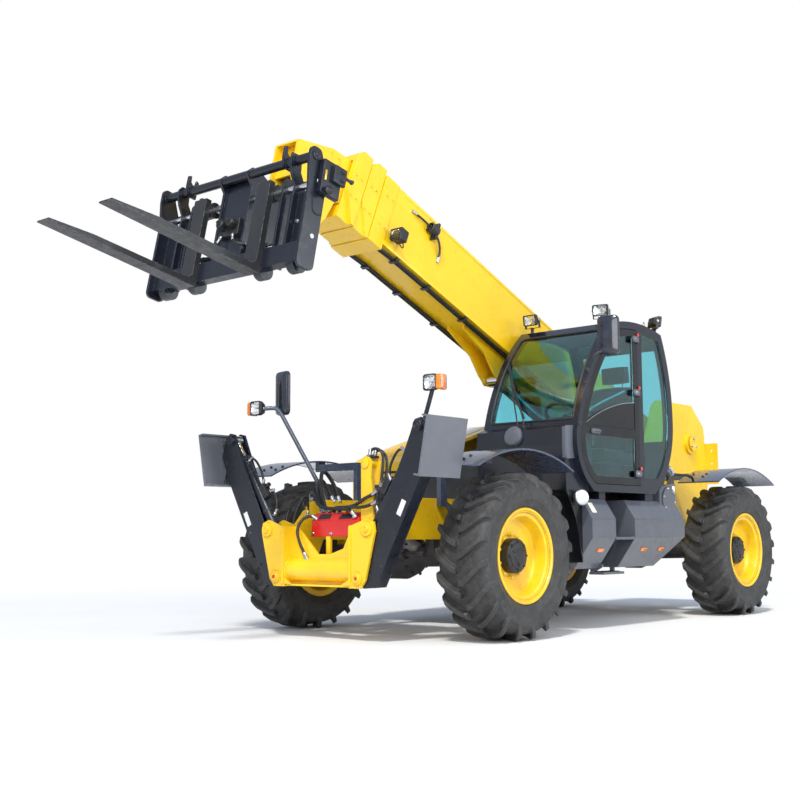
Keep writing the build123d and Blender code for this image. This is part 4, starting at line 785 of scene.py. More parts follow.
FRONT_HOSES = (
    (0.0125, [(2.30, -0.385, 1.000), (2.33, -0.36, 1.060), (2.38, -0.28, 1.025), (2.41, -0.20, 0.935),
              (2.43, -0.04, 0.922), (2.45, 0.09, 0.920), (2.47, 0.18, 0.905), (2.455, 0.205, 0.862)]),
    (0.0125, [(2.31, -0.120, 0.890), (2.33, -0.130, 0.918), (2.38, -0.080, 0.930), (2.42, 0.060, 0.932),
              (2.462, 0.20, 0.936), (2.482, 0.31, 0.985), (2.482, 0.39, 1.010), (2.468, 0.425, 1.040)]),
    (0.0115, [(2.36, -0.030, 0.890), (2.38, -0.025, 0.925), (2.43, 0.06, 0.932), (2.475, 0.20, 0.928),
              (2.488, 0.29, 0.925), (2.485, 0.38, 0.940), (2.470, 0.425, 0.965)]),
    (0.015, [(2.00, -0.392, 0.985), (2.01, -0.410, 1.090), (2.08, -0.440, 1.205), (2.18, -0.400, 1.225),
             (2.26, -0.330, 1.110), (2.31, -0.265, 1.010), (2.36, -0.180, 0.924), (2.37, -0.135, 0.892)]),
    (0.015, [(2.06, -0.392, 0.985), (2.08, -0.420, 1.070), (2.15, -0.430, 1.160), (2.23, -0.385, 1.130),
             (2.30, -0.320, 1.030), (2.35, -0.240, 0.935), (2.38, -0.185, 0.892)]),
    (0.011, [(2.36, -0.390, 0.860), (2.37, -0.400, 1.010), (2.40, -0.445, 1.010), (2.43, -0.495, 0.930),
             (2.452, -0.505, 0.845), (2.462, -0.480, 0.780)]),
    (0.010, [(2.34, -0.390, 0.870), (2.34, -0.380, 0.985), (2.38, -0.372, 1.030), (2.43, -0.395, 0.960),
             (2.455, -0.420, 0.850), (2.465, -0.420, 0.770)]),
    (0.0105, [(2.455, -0.175, 0.850), (2.485, -0.205, 0.880), (2.540, -0.245, 0.850), (2.585, -0.255, 0.770),
              (2.592, -0.215, 0.680), (2.585, -0.175, 0.610), (2.580, -0.150, 0.568)]),
    (0.010, [(2.395, 0.290, 1.290), (2.393, 0.292, 1.335), (2.375, 0.345, 1.345), (2.370, 0.398, 1.300),
             (2.385, 0.400, 1.180), (2.400, 0.398, 1.100), (2.420, 0.418, 1.060)]),
    (0.010, [(2.372, 0.318, 1.292), (2.370, 0.322, 1.325), (2.350, 0.360, 1.330), (2.335, 0.400, 1.280),
             (2.345, 0.402, 1.160), (2.370, 0.402, 1.060), (2.420, 0.418, 1.000)]),
)
BLOCK_PORT = [(0, 0), (0.017, 0), (0.017, 0.028), (0.013, 0.034), (0, 0.034)]
for radius, route in FRONT_HOSES:
    hose("front_hoses", route, radius)
valve = DATUM @ move((2.440, 0.432, 0.985))
add("front_valve_block", BLACK, rounded_box((0.062, 0.062, 0.190), 0.006, 3), valve)
block("front_valve_block", BLACK, (0.060, 0.016, 0.230), (2.400, 0.405, 0.900))
for z in (-0.06, 0.0, 0.06):
    bolt("front_block_plugs", (0.031, 0.0, z), FORWARD, 0.012, valve, material=CAST)
    turned("front_valve_block", BLACK, BLOCK_PORT, LEFT, (0, 0.030, z), 20, valve)
for x in (2.39, 2.365):
    for y in (0.275, 0.300, 0.325):
        bolt("bracket_top_fittings", (x + 0.01, y, 1.283), UP, 0.010, material=CAST)
block("bracket_top_fittings", CAST, (0.060, 0.090, 0.016), (2.388, 0.302, 1.280))

# Pins, welds and gussets of the front frame

PIN_FACE, WELD_FACE = 2.660, 2.644
PIN_DOT = [(0, 0.008), (0.011, 0.008), (0.010, 0.0125), (0, 0.013)]
BRACKET_PIN = [(0, 0), (0.036, 0), (0.036, 0.008), (0.030, 0.012), (0, 0.012)]
for s in (1, -1):
    side = MIRRORED[s]
    pin_head("frame_pins", YELLOW, (PIN_FACE, *LEG_PIN[1:]), FORWARD, 0.029, side)
    pin_head("frame_pins", YELLOW, (PIN_FACE, *CYLINDER_PIN[1:]), FORWARD, 0.024, side)
    turned("pin_centres", RED, PIN_DOT, FORWARD, (PIN_FACE, *LEG_PIN[1:]), 20, side)
    for pin, radius in ((LEG_PIN, 0.044), (CYLINDER_PIN, 0.050)):
        weld = bead(radius + 0.005, 0.002, 0.005)
        turned("frame_welds", YELLOW, weld, FORWARD, (WELD_FACE, *pin[1:]), 40, side, close=True)
    turned("frame_welds", YELLOW, bead(0.085, 0, 0.006), LEFT, (2.555, 0.316, 0.490), 48, side, close=True)
    add("frame_gussets", YELLOW, prism([(0.0, 0.0), (0.075, 0.0), (0.0, 0.040)], 0.010, 0.002),
        side @ move((2.636, 0.318, 0.390)) @ spin(-90, "Z"))
    block("frame_gussets", YELLOW, (0.012, 0.020, 0.400), (2.648, 0.331, 0.590), 0.003, side)
    turned("bracket_pins", YELLOW, BRACKET_PIN, (s, 0, 0), (2.460 if s > 0 else 2.330, 0.305, 1.235))

# Outrigger legs: pins, blank plates, edge welds, cylinder hoses and valve blocks

LEG_FRONT, LEG_BACK, LEG_MIDDLE = 2.612, 2.513, 2.5625
LEG_EDGE = [(-0.031, 0.06), (-0.034, 0.30), (-0.034, 0.98), (-0.050, 1.13)]
GLAND = [(0.0225, 0.612), (0.041, 0.612), (0.044, 0.616), (0.044, 0.640), (0.040, 0.646), (0.030, 0.648),
         (0.0225, 0.648)]
VALVE_SPOOL = [(0, 0), (0.016, 0), (0.016, 0.035), (0, 0.038)]
BAND = [(0.0375, -0.008), (0.040, -0.008), (0.040, 0.008), (0.0375, 0.008)]
LEG_HOSES = (
    [(2.575, -0.040, 0.590), (2.575, -0.080, 0.590), (2.575, -0.108, 0.540), (2.572, -0.110, 0.440),
     (2.568, -0.085, 0.375), (2.566, -0.060, 0.352)],
    [(2.552, -0.086, 0.280), (2.552, -0.118, 0.270), (2.550, -0.120, 0.200), (2.552, -0.080, 0.130),
     (2.555, -0.040, 0.105)])
for s, word, plate_along in ((1, "left", 0.590), (-1, "right", 0.525)):
    body = "leg_" + word
    leg = MIRRORED[s] @ LEG_LINE
    add("blank_plate_" + word, WHITE, plaque(0.042, 0.112, 0.0015, 0.08),
        leg @ facing(FORWARD, (2.618, 0.110, plate_along)), body)
    pin_head("leg_pins_" + word, CARRIAGE, (2.634, 0, 1.1428), FORWARD, 0.036, leg, body)
    for along in (0.16, 0.42, 0.68):
        bolt("leg_bolts_" + word, (2.618, 0.128, along), FORWARD, 0.0065, leg, body, CARRIAGE)
    for x in (LEG_FRONT, LEG_BACK):
        pipe("leg_edges_" + word, CARRIAGE, [(x, *spot) for spot in LEG_EDGE], 0.0045, 6, leg, body)
    body = "leg_barrel_" + word
    leg = MIRRORED[s] @ LEG_CYLINDER
    turned("leg_glands_" + word, STEEL, GLAND, UP, (LEG_MIDDLE, 0, 0), 32, leg, body)
    block("leg_valves_" + word, BLACK, (0.058, 0.052, 0.110), (LEG_MIDDLE, -0.060, 0.300), 0.005, leg, body,
          3)
    turned("leg_valves_" + word, CAST, VALVE_SPOOL, RIGHT, (LEG_MIDDLE, -0.085, 0.325), 20, leg, body)
    for route in LEG_HOSES:
        hose("leg_hoses_" + word, route, 0.009, leg, body)
    for along in (0.16, 0.50):
        turned("leg_bands_" + word, CAST, BAND, UP, (LEG_MIDDLE, 0, along), 32, leg, body, close=True)

# Boom: collar bolts, edge strips, clamped hoses under it and pin covers

COLLARS = (
    ("bolts_third", "boom_third", 0.178, [(a, c) for a in (4.868, 4.928) for c in (-0.120, -0.290)]),
    ("bolts_second", "boom_second", 0.184, [(a, c) for a in (4.705, 4.765) for c in (-0.110, -0.310)]),
    ("bolts_base", "boom", 0.195, [(a, c) for c in (-0.080, -0.330) for a in (4.535, 4.595)]))
UNDER_ROUTE = ((0.95, -0.452), (1.00, -0.466), (2.0, -0.466), (3.2, -0.468), (4.30, -0.466), (4.44, -0.474),
               (4.485, -0.476))
PIVOT_COVER = [(0, 0), (0.074, 0), (0.074, 0.006), (0.070, 0.010), (0.030, 0.010), (0.026, 0.006), (0, 0.006)]
for s in (1, -1):
    flank = BOOM @ Matrix.Diagonal((1, s, 1, 1))
    for name, body, y, spots in COLLARS:
        for along, up in spots:
            bolt(name, (along, y, up), LEFT, 0.0085, flank, body, YELLOW)
    block("boom_strips", YELLOW, (3.80, 0.012, 0.034), (2.60, 0.190, -0.437), 0.003, flank, "boom")
    block("boom_strips", YELLOW, (3.40, 0.008, 0.020), (2.70, 0.190, 0.046), 0.003, flank, "boom")
    for y in (0.128, 0.156):
        hose("under_hoses", [(along, y, up) for along, up in UNDER_ROUTE], 0.010, flank, "boom", False)
    for along in (1.1, 1.7, 2.3, 3.4, 3.9, 4.3):
        block("hose_clamps", STEEL, (0.030, 0.078, 0.010), (along, 0.142, -0.480), 0.003, flank, "boom")
        block("hose_clamps", STEEL, (0.030, 0.012, 0.030), (along, 0.180, -0.466), 0.003, flank, "boom")
    x, z = BOOM_PIVOT[0], BOOM_PIVOT[2]
    turned("pivot_covers", YELLOW, PIVOT_COVER, LEFT, (x, 0.440, z), 40, MIRRORED[s])
    for k in range(3):
        a = radians(90 + 120 * k)
        bolt("pivot_bolts", (x + 0.050 * cos(a), 0.449, z + 0.050 * sin(a)), LEFT, 0.010, MIRRORED[s])
    pin_head("head_pins", YELLOW, (5.06, 0.118, -0.13), LEFT, 0.036, flank, "boom_tip")
    pin_head("carriage_pins", CARRIAGE, (5.364, 0.160, -1.003), LEFT, 0.036, flank, "boom_tip")
    for along in (4.72 + 0.36, 4.80 + 0.36):
        bolt("head_bolts", (along, 0.118, -0.02 - 0.05), LEFT, 0.008, flank, "boom_tip", YELLOW)

# Boom: work lamp with its cable, hose guide

LAMP_CABLE = [(4.395, 0.275, -0.370), (4.350, 0.262, -0.400), (4.330, 0.225, -0.395), (4.345, 0.196, -0.350)]
GUIDE = [(0.030, -0.040), (0.036, -0.046), (0.044, -0.040), (0.040, 0.0), (0.044, 0.040), (0.036, 0.046),
         (0.030, 0.040), (0.028, 0.0)]
GUIDE_ROUTE = [(4.30, 0.196, -0.030), (4.20, 0.212, -0.030), (4.06, 0.222, -0.050), (3.96, 0.226, -0.100),
               (3.90, 0.208, -0.180), (3.90, 0.196, -0.240)]
work = BOOM @ move((4.4325, 0.275, -0.355)) @ spin(22, "Y")
lamp_unit("boom_lamp", work @ move((0.008, 0, 0)), 0.094, 0.094, 0.090, "boom")
block("boom_lamp_arm", BLACK, (0.034, 0.060, 0.030), (4.43, 0.215, -0.355), 0.005, BOOM, "boom")
hose("boom_lamp_cable", LAMP_CABLE, 0.0045, BOOM, "boom", False)
turned("hose_guide", CAST, GUIDE, FORWARD, (4.060, 0.222, -0.050), 32, BOOM, "boom", close=True)
hose("guide_hose", GUIDE_ROUTE, 0.0085, BOOM, "boom")

# Fork carriage: latch on the left end plate

ON_HEAD = {"frame": HEAD, "body": "fork_carriage"}
LATCH_KNOB = [(0, 0), (0.013, 0), (0.013, 0.012), (0.028, 0.018), (0.031, 0.030), (0.027, 0.042),
              (0.012, 0.050), (0, 0.051)]
LATCH_PIN = [(0, -0.03), (0.011, -0.03), (0.011, 0.055), (0.016, 0.058), (0.016, 0.070), (0, 0.072)]
GROOVE = [(0.312, 0.086), (0.306, 0.040), (0.294, 0.006), (0.262, -0.008), (0.228, 0.006)]
block("latch_block", STEEL, (0.170, 0.044, 0.230), (0.215, 0.777, 0.250), 0.010, segments=3, **ON_HEAD)
block("latch_block", STEEL, (0.110, 0.030, 0.120), (0.170, 0.812, 0.290), 0.010, segments=3, **ON_HEAD)
plate("latch_slot", BLACK, (0.030, 0.110), [(0, 1), (0.0025, 1), (0.003, 0.95)], 0.4, LEFT,
      (0.278, 0.798, 0.265), **ON_HEAD)
block("latch_tongue", AMBER_METAL, (0.016, 0.012, 0.070), (0.278, 0.802, 0.255), **ON_HEAD)
turned("latch_knob", BLACK, LATCH_KNOB, (0.25, 1, -0.2), (0.245, 0.796, 0.158), **ON_HEAD)
for up in (0.320, 0.262):
    bolt("latch_bolts", (0.150, 0.827, up), LEFT, 0.013, material=CAST, **ON_HEAD)
turned("latch_pin", CAST, LATCH_PIN, BACK, (0.118, 0.812, 0.300), 24, **ON_HEAD)
pipe("latch_groove", BLACK, [(a, 0.757, c) for a, c in GROOVE], 0.0055, **ON_HEAD)

# Fork carriage: caps, plugs, positioner cylinders, fork hooks and the coupler

PLUG = [(0, 0), (0.017, 0), (0.016, 0.003), (0, 0.003)]
POSITIONER = [(0, 0), (0.026, 0), (0.026, 0.012), (0.022, 0.016), (0.022, 0.150), (0.026, 0.154),
              (0.026, 0.172), (0.012, 0.176), (0, 0.176)]
POSITIONER_ROD = [(0, 0), (0.0095, 0), (0.0095, 0.142), (0, 0.142)]
COUPLER_PLUG = [(0, 0), (0.030, 0), (0.033, 0.006), (0.033, 0.050), (0.026, 0.058), (0.014, 0.060),
                (0.012, 0.075), (0, 0.075)]
HOOK = [(0.0285, -0.005), (0.056, -0.005), (0.056, 0.005), (0.0285, 0.005)]
COUPLER_ROUTE = ((0.340, 0.060, -0.050), (0.352, 0.085, -0.105), (0.335, 0.135, -0.125),
                 (0.290, 0.170, -0.120),
                 (0.262, 0.180, -0.125))
for s in (1, -1):
    on_flank = {"frame": HEAD @ Matrix.Diagonal((1, s, 1, 1)), "body": "fork_carriage"}
    pin_head("tube_caps", CARRIAGE, (0.340, 0.755, 0.375), LEFT, 0.034, **on_flank)
    pin_head("shaft_caps", STEEL_BARE, (0.275, 0.753, 0.215), LEFT, 0.027, **on_flank)
    turned("plate_plugs", STEEL_BARE, PLUG, LEFT, (0.269, 0.755, -0.157), 24, **on_flank)
    bolt("panel_bolts", (0.275, 0.600, -0.027), FORWARD, 0.010, **on_flank)
    bolt("panel_bolts", (0.275, 0.680, -0.160), FORWARD, 0.010, **on_flank)
    turned("positioners", STEEL, POSITIONER, LEFT, (0.255, 0.147, -0.145), **on_flank)
    turned("positioner_rods", CHROME, POSITIONER_ROD, LEFT, (0.255, 0.315, -0.145), 20, **on_flank)
    turned("coupler_plugs", BLACK, COUPLER_PLUG, (1, 0, 0.25), (0.330, 0.050, 0.020), **on_flank)
    block("fork_clips", CAST, (0.050, 0.034, 0.024), (0.345, 0.3195, 0.268), 0.006, **on_flank)
    for y in (0.262, 0.377):
        turned("fork_hooks", FORK, HOOK, LEFT, (0.275, y, 0.215), 40, close=True, **on_flank)
block("coupler_block", BLACK, (0.034, 0.200, 0.120), (0.322, 0, 0.010), 0.008, segments=3, **ON_HEAD)
for s in (-1, 1):
    hose("coupler_hoses", [(a, s * y, c) for a, y, c in COUPLER_ROUTE], 0.008, **ON_HEAD)

# Cab: rubber seals that follow the bowed front and rear


def circle_through(p, q, r):
    """Centre and radius of the circle through three points of a plane."""
    (ax, ay), (bx, by), (cx, cy) = p, q, r
    d = 2 * (ax * (by - cy) + bx * (cy - ay) + cx * (ay - by))
    pp, qq, rr = ax * ax + ay * ay, bx * bx + by * by, cx * cx + cy * cy
    ux = (pp * (by - cy) + qq * (cy - ay) + rr * (ay - by)) / d
    uy = (pp * (cx - bx) + qq * (ax - cx) + rr * (bx - ax)) / d
    return (ux, uy), hypot(ax - ux, ay - uy)


FRONT_ARC = circle_through((0.480, 2.400), (0.890, 1.900), (1.035, 1.500))
REAR_ARC = circle_through((-0.456, 1.650), (-0.410, 2.060), (-0.290, 2.390))


def screen_x(z, out=0.0):
    """How far forward the windscreen's outer face is at a height."""
    (cx, cz), radius = FRONT_ARC
    return cx + sqrt((radius + out) ** 2 - (z - cz) ** 2)


def rear_x(z, out=0.0):
    """How far back the rear window's outer face is at a height."""
    (cx, cz), radius = REAR_ARC
    return cx - sqrt((radius + out) ** 2 - (z - cz) ** 2)


def seal(name, surface, y0, y1, z0, z1, sunk=-0.003, corner=0.05):
    """Rubber bead round a window opening in a bowed face."""
    steps = [z0 + corner + (z1 - z0 - 2 * corner) * k / 8 for k in range(9)]
    line = [(y0, z) for z in steps]
    line += [(y, z1) for y in (y0, y0 + corner, y1 - corner, y1)]
    line += [(y1, z) for z in reversed(steps)]
    line += [(y, z0) for y in (y1, y1 - corner, y0 + corner, y0)]
    line.append(line[0])
    pipe(name, BLACK, [(surface(z, sunk), y, z) for y, z in line], 0.010)


seal("screen_seal", screen_x, 0.325, 1.095, 1.600, 2.340)
seal("rear_seal", rear_x, 0.345, 1.075, 1.500, 2.280)

# Cab: wiper with its motor cover


def blade_line(heights, out):
    """Points along the wiper's blade, a distance in front of the glass."""
    return [(screen_x(z, out), 0.655 - 0.35 * (z - 1.63) / 0.55, z) for z in heights]


ARM_BEND = 1.72
MOTOR_COVER = [(0, -0.045), (0.074, -0.045), (0.080, -0.038), (0.080, 0.020), (0.070, 0.034), (0.045, 0.042),
               (0, 0.044)]
SPINDLE = [(0, 0), (0.020, 0), (0.020, 0.030), (0.012, 0.036), (0, 0.036)]
for y, end_y, end_z in ((0.700, 0.500, 1.905), (0.640, 0.468, 1.925)):
    pipe("wiper_arms", BLACK, [
        (1.085, y, 1.545), (1.085 - 0.005, y - 0.004, 1.600),
        (screen_x(ARM_BEND, 0.034), y + (end_y - y) * 0.45, ARM_BEND),
        (screen_x(end_z, 0.030), end_y, end_z)], 0.0055)
pipe("wiper_blade", BLACK, blade_line((1.63, 1.74, 1.85, 1.96, 2.07, 2.18), 0.012), 0.0075, 6)
pipe("wiper_blade", BLACK, blade_line((1.70, 1.80, 1.90, 2.00, 2.10), 0.024), 0.0055, 6)
turned("wiper_motor_cover", TRIM_GREY, MOTOR_COVER, (1, 0, 0.25), (1.128, 0.640, 1.478), 40)
for y in (0.700, 0.640):
    turned("wiper_spindles", BLACK, SPINDLE, (0.3, 0, 1), (1.078, y, 1.530), 24)

# Cab: cowl trim and vents, wheel arch panel and tank cap

TRIM = [(0.990, 1.552), (1.128, 1.540), (1.134, 1.400), (1.120, 1.292), (1.010, 1.300), (0.985, 1.420)]
ARCH = [(1.125, 1.062), (1.090, 1.020), (1.035, 0.930), (0.985, 0.830), (0.950, 0.720), (0.930, 0.600),
        (0.905, 0.520), (0.903, 0.560), (0.905, 1.000), (0.960, 1.060)]
TANK_CAP = [(0, 0), (0.050, 0), (0.050, 0.050), (0.046, 0.056), (0.058, 0.058), (0.060, 0.064),
            (0.060, 0.092), (0.054, 0.098), (0.030, 0.100), (0, 0.100)]
add("cowl_trim", TRIM_GREY, prism(TRIM, 0.010, 0.003), DATUM @ move((0, 1.100, 0)))
block("cowl_trim", TRIM_GREY, (0.008, 0.030, 0.235), (1.134, 1.095, 1.415), 0.003)
for k in range(9):
    plate("cowl_vents", BLACK, (0.036, 0.060), [(0, 1), (0.002, 1), (0.0025, 0.95)], 0.3, (-0.02, 0, 1),
          (1.000, 0.46 + 0.062 * k, 1.5503))
add("arch_panel", GLOSS_BLACK, prism(ARCH, 0.640, 0.004), DATUM @ move((0, 0.455, 0)))
turned("tank_cap", STEEL_BARE, TANK_CAP, (0.45, 1, 0.1), (0.955, 1.070, 0.998), 40)

# Cab door: hinges, dark panel under a bright steel line that paints the seam's highlight, grab bar and handle

DOOR = {"body": "cab_door"}
HINGE_TIP = [(0, 0), (0.009, 0), (0.009, 0.020), (0.006, 0.026), (0, 0.026)]
GRAB_BAR = [(0.790, 1.085, 1.660), (0.770, 1.075, 1.680), (0.560, 1.075, 1.765), (0.330, 1.075, 1.840),
            (0.215, 1.078, 1.880)]
HANDLE = [(0.738, 1.160, 1.515), (0.745, 1.182, 1.516), (0.780, 1.186, 1.516), (0.815, 1.182, 1.516),
          (0.822, 1.160, 1.515)]
for z in (1.210, 1.865, 2.300):
    plate("hinge_plates", TRIM_GREY, (0.092, 0.052), [(0, 1), (0.007, 1), (0.011, 0.9)], 0.45, LEFT,
          (0.165, 1.1642, z), **DOOR)
    bolt("hinge_bolts", (0.180, 1.175, z), LEFT, 0.008, **DOOR)
    turned("hinge_tips", RED, HINGE_TIP, UP, (0.112, 1.162, z + 0.0282), 20, **DOOR)
(arc_x, arc_z), arc_r = circle_through((0.900, 1.580), (0.560, 1.715), (0.175, 1.782))
arc = [(x, arc_z + sqrt(arc_r ** 2 - (x - arc_x) ** 2)) for x in [0.178 + 0.0722 * k for k in range(11)]]
add("door_panel", GLOSS_BLACK, prism(arc + [(0.905, 1.563), (0.178, 1.563)], 0.008),
    DATUM @ move((0, 1.1385, 0)),
    **DOOR)
# A bright bare-steel tube along the seam's arc stands in for its light highlight line: painted highlight.
pipe("door_line", STEEL_BARE, [(x, 1.1475, z) for x, z in arc], 0.0035, 6, **DOOR)
pipe("door_grab_bar", TEAL_BAR, GRAB_BAR, 0.009, **DOOR)
for place in ((0.800, 1.096, 1.655), (0.200, 1.096, 1.884)):
    block("door_grab_feet", BLACK, (0.036, 0.070, 0.030), place, 0.006, **DOOR)
plate("door_handle", TRIM_GREY, (0.120, 0.040), [(0, 1), (0.010, 1), (0.016, 0.86)], 0.4, LEFT,
      (0.780, 1.1505, 1.515), **DOOR)
pipe("door_handle", TRIM_GREY, HANDLE, 0.0065, **DOOR)
for x, z in ((0.900, 1.875), (1.000, 1.560)):
    bolt("post_buttons", (x, 1.150, z), LEFT, 0.011, material=CAST)
eye = bead(0.016, 0, 0.005, [pi / 4 * k for k in range(8)])
for x in (0.40, -0.06):
    z = 2.405 + 0.035 * (1 - ((x - 0.09) / 0.39) ** 2)
    add("roof_eyes", STEEL_BARE, revolved(eye, 24, close=True), DATUM @ move((x, 1.120, z + 0.020)))

# Seat

SEAT_Y = 0.760
SIDE_PULL = 0.035       # share by which a cushion's sides pull in
SOFTNESS = 0.30         # how far its corners go towards a ball
SEAM_WIDTH = 0.045
CROSS_SEAMS = (-0.62, 0.62)


def pad_mesh(length, width, height, crown, channels):
    """Crowned cushion: soft corners, sides that pull in, and sewn channels across its top."""
    bm = bmesh.new()
    bmesh.ops.create_cube(bm, size=2)
    bmesh.ops.subdivide_edges(bm, edges=bm.edges[:], cuts=23, use_grid_fill=True)
    for vert in bm.verts:
        x, y, z = vert.co
        rx = x * sqrt(max(0, 1 - y * y / 2 - z * z / 2 + y * y * z * z / 3))
        ry = y * sqrt(max(0, 1 - x * x / 2 - z * z / 2 + x * x * z * z / 3))
        rz = z * sqrt(max(0, 1 - x * x / 2 - y * y / 2 + x * x * y * y / 3))
        px, py, pz = x + (rx - x) * SOFTNESS, y + (ry - y) * SOFTNESS, z + (rz - z) * SOFTNESS
        px *= 1 - SIDE_PULL * (1 - y * y)
        py *= 1 - SIDE_PULL * (1 - x * x)
        if z > 0:
            pz += crown * z * (1 - x * x) * (1 - y * y)
            for spot in channels:
                pz -= 0.16 * z * exp(-((x - spot) / SEAM_WIDTH) ** 2)
            for spot in CROSS_SEAMS:
                pz -= 0.14 * z * exp(-((y - spot) / SEAM_WIDTH) ** 2)
        vert.co = (px * length / 2, py * width / 2, pz * height / 2)
    bmesh.ops.recalc_face_normals(bm, faces=bm.faces)
    return mesh_of(bm, "pad")


def cushion(name, mesh, matrix):
    mesh.transform(matrix)
    obj = piece(name, mesh, CLOTH, "chassis", 60)


cushion("seat_cushion", pad_mesh(0.500, 0.480, 0.118, 0.35, (-0.33, 0.33)),
        DATUM @ move((0.155, SEAT_Y, 1.352)) @ spin(-3, "Y"))
cushion("seat_back", pad_mesh(0.560, 0.430, 0.120, 0.35, (-0.5, 0.0, 0.5)),
        DATUM @ move((-0.160, SEAT_Y, 1.695)) @ spin(96, "Y") @ spin(180, "Z"))
cushion("seat_headrest", pad_mesh(0.150, 0.250, 0.085, 0.25, ()),
        DATUM @ move((-0.188, SEAT_Y, 2.070)) @ spin(96, "Y") @ spin(180, "Z"))
bellows = []
for k in range(9):
    share = 0.96 if k % 2 else 1.0
    ring = round_rect(0.390 * share, 0.300 * share, 0.05)
    bellows.append([(0.135 + p, SEAT_Y + q, 1.100 + 0.190 * k / 8) for p, q in ring])
seat_base = piece("seat_base", mesh_of(lofted(bellows), "base"), BLACK, "chassis", 35)
seat_base.matrix_world = DATUM
for s in (-1, 1):
    y = SEAT_Y + s * 0.060
    pipe("seat_posts", STEEL_BARE, [(-0.205, y, 1.95), (-0.200, y, 2.02), (-0.196, y, 2.06)], 0.006)
for s in (1, -1):
    block("seat_arms", BLACK, (0.300, 0.050, 0.045), (0.030, SEAT_Y + s * 0.262, 1.585), 0.014, segments=3)
    block("seat_arms", BLACK, (0.050, 0.020, 0.200), (-0.130, SEAT_Y + s * 0.235, 1.500), 0.008, segments=3)
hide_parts("cab_seat")

# Dash, levers, roof lining and inner mirror

LEVER_KNOB = [(0, -0.014), (0.012, -0.012), (0.016, 0), (0.012, 0.012), (0, 0.015)]
INNER_ARM = [(0.600, 0.980, 2.165), (0.580, 0.995, 2.240), (0.540, 1.020, 2.310), (0.520, 1.040, 2.352)]
plate("dash_screen", GLOSS_BLACK, (0.240, 0.120), [(0, 1), (0.014, 1), (0.020, 0.94)], 0.12, (-1, 0, 0.45),
      (0.742, SEAT_Y, 1.500))
for y in (0.52, 0.56, 0.96):
    pipe("cab_levers", BLACK, [(0.690, y, 1.440), (0.680, y, 1.520), (0.655, y + 0.01, 1.575)], 0.006)
    turned("cab_levers", BLACK, LEVER_KNOB, UP, (0.653, y + 0.01, 1.585), 20)
block("roof_lining", INSIDE, (0.560, 0.740, 0.030), (0.080, 0.710, 2.372), 0.010, segments=3)
plate("inner_mirror", BLACK, (0.150, 0.075), [(0, 1), (0.010, 1), (0.018, 0.85)], 0.35, (1, 0.1, 0),
      (0.600, 0.980, 2.160))
pipe("inner_mirror", BLACK, INNER_ARM, 0.005)

# Side tank: rear panel with its round cover, plates, reflectors, neck bands, steps and handrail

COVER_X, COVER_Z = -0.430, 1.018
SLOPE_HIGH, SLOPE_LOW = (0, 0.845, 0.535), (0, 0.810, -0.586)
NECK = Vector((-0.140, 0.060, 0.130)).normalized()
NECK_START, NECK_END = Vector((-0.500, 0.900, 1.120)), Vector((-0.672, 0.974, 1.280))
TANK_PANEL = [(-0.560, 0.905), (-0.300, 0.905), (-0.285, 0.930), (-0.285, 1.095), (-0.320, 1.125),
              (-0.560, 1.150)]
TANK_COVER = [(0, 0), (0.103, 0), (0.106, 0.003), (0.106, 0.010), (0.102, 0.014), (0.088, 0.014),
              (0.084, 0.011), (0, 0.011)]
FILLER_CAP = [(0, -0.012), (0.058, -0.012), (0.060, -0.008), (0.060, 0.006), (0.054, 0.012), (0.020, 0.014),
              (0, 0.014)]
HANDRAIL = [(-0.545, 0.985, 1.140), (-0.560, 0.990, 1.215), (-0.640, 0.990, 1.245), (-0.900, 0.985, 1.245),
            (-1.080, 0.970, 1.245), (-1.150, 0.960, 1.228), (-1.185, 0.950, 1.196)]
GAP_FITTING = [(0, 0), (0.016, 0), (0.020, 0.010), (0.020, 0.028), (0.012, 0.034), (0, 0.034)]
add("tank_panel", GREY, prism(TANK_PANEL, 0.070, 0.006, 3), DATUM @ move((0, 1.030, 0)))
turned("tank_cover", GREY, TANK_COVER, LEFT, (COVER_X, 1.100, COVER_Z), 56)
for k in range(6):
    a = radians(60 * k + 15)
    bolt("tank_cover_bolts", (COVER_X + 0.094 * cos(a), 1.113, COVER_Z + 0.094 * sin(a)), LEFT, 0.0075)
add("blank_plates", PLATE_PALE, plaque(0.060, 0.090, 0.002, 0.08),
    DATUM @ facing(SLOPE_HIGH, (0.815, 1.128, 0.932)))
add("blank_plates", PLATE_PALE, plaque(0.045, 0.070, 0.002, 0.08),
    DATUM @ facing(LEFT, (-0.525, 1.100, 1.098)))
for x in (0.690, 0.030, -0.255):
    plate("side_reflectors", AMBER, (0.085, 0.030), [(0, 1), (0.006, 1), (0.009, 0.9)], 0.3, SLOPE_LOW,
          (x, 1.1125, 0.612))
for x0, x1 in ((0.565, 0.895), (-0.300, 0.265)):
    for z in (0.850, 0.705):
        pipe("tank_creases", GREY, [(x, 1.1801, z) for x in (x0, (x0 + x1) / 2, x1)], 0.0035, 6)
for along, r, depth in ((0.055, 0.050, 0.012), (0.100, 0.050, 0.012), (0.170, 0.058, 0.022)):
    band = [(0.0445, 0), (r, 0), (r + 0.002, 0.004), (r + 0.002, depth - 0.004), (r, depth), (0.0445, depth)]
    turned("filler_bands", BLACK, band, NECK, NECK_START + NECK * along, 36, close=True)
turned("filler_cap", STEEL_BARE, FILLER_CAP, NECK, NECK_END, 40)
for k in range(18):
    grip = turn_to(NECK, NECK_END) @ Matrix.Rotation(2 * pi * k / 18, 4, "Y") @ move((0, -0.001, 0.060))
    add("filler_cap", STEEL_BARE, rounded_box((0.008, 0.018, 0.006), 0.002), DATUM @ grip)
for k in range(7):
    x = 0.300 + 0.038 * k
    block("step_cleats", STEEL, (0.010, 0.120, 0.006), (x, 1.100, 0.7145), 0.002)
    block("step_cleats", STEEL, (0.010, 0.100, 0.006), (x, 0.995, 0.4425), 0.002)
pipe("side_handrail", BLACK, HANDRAIL, 0.011, 10)
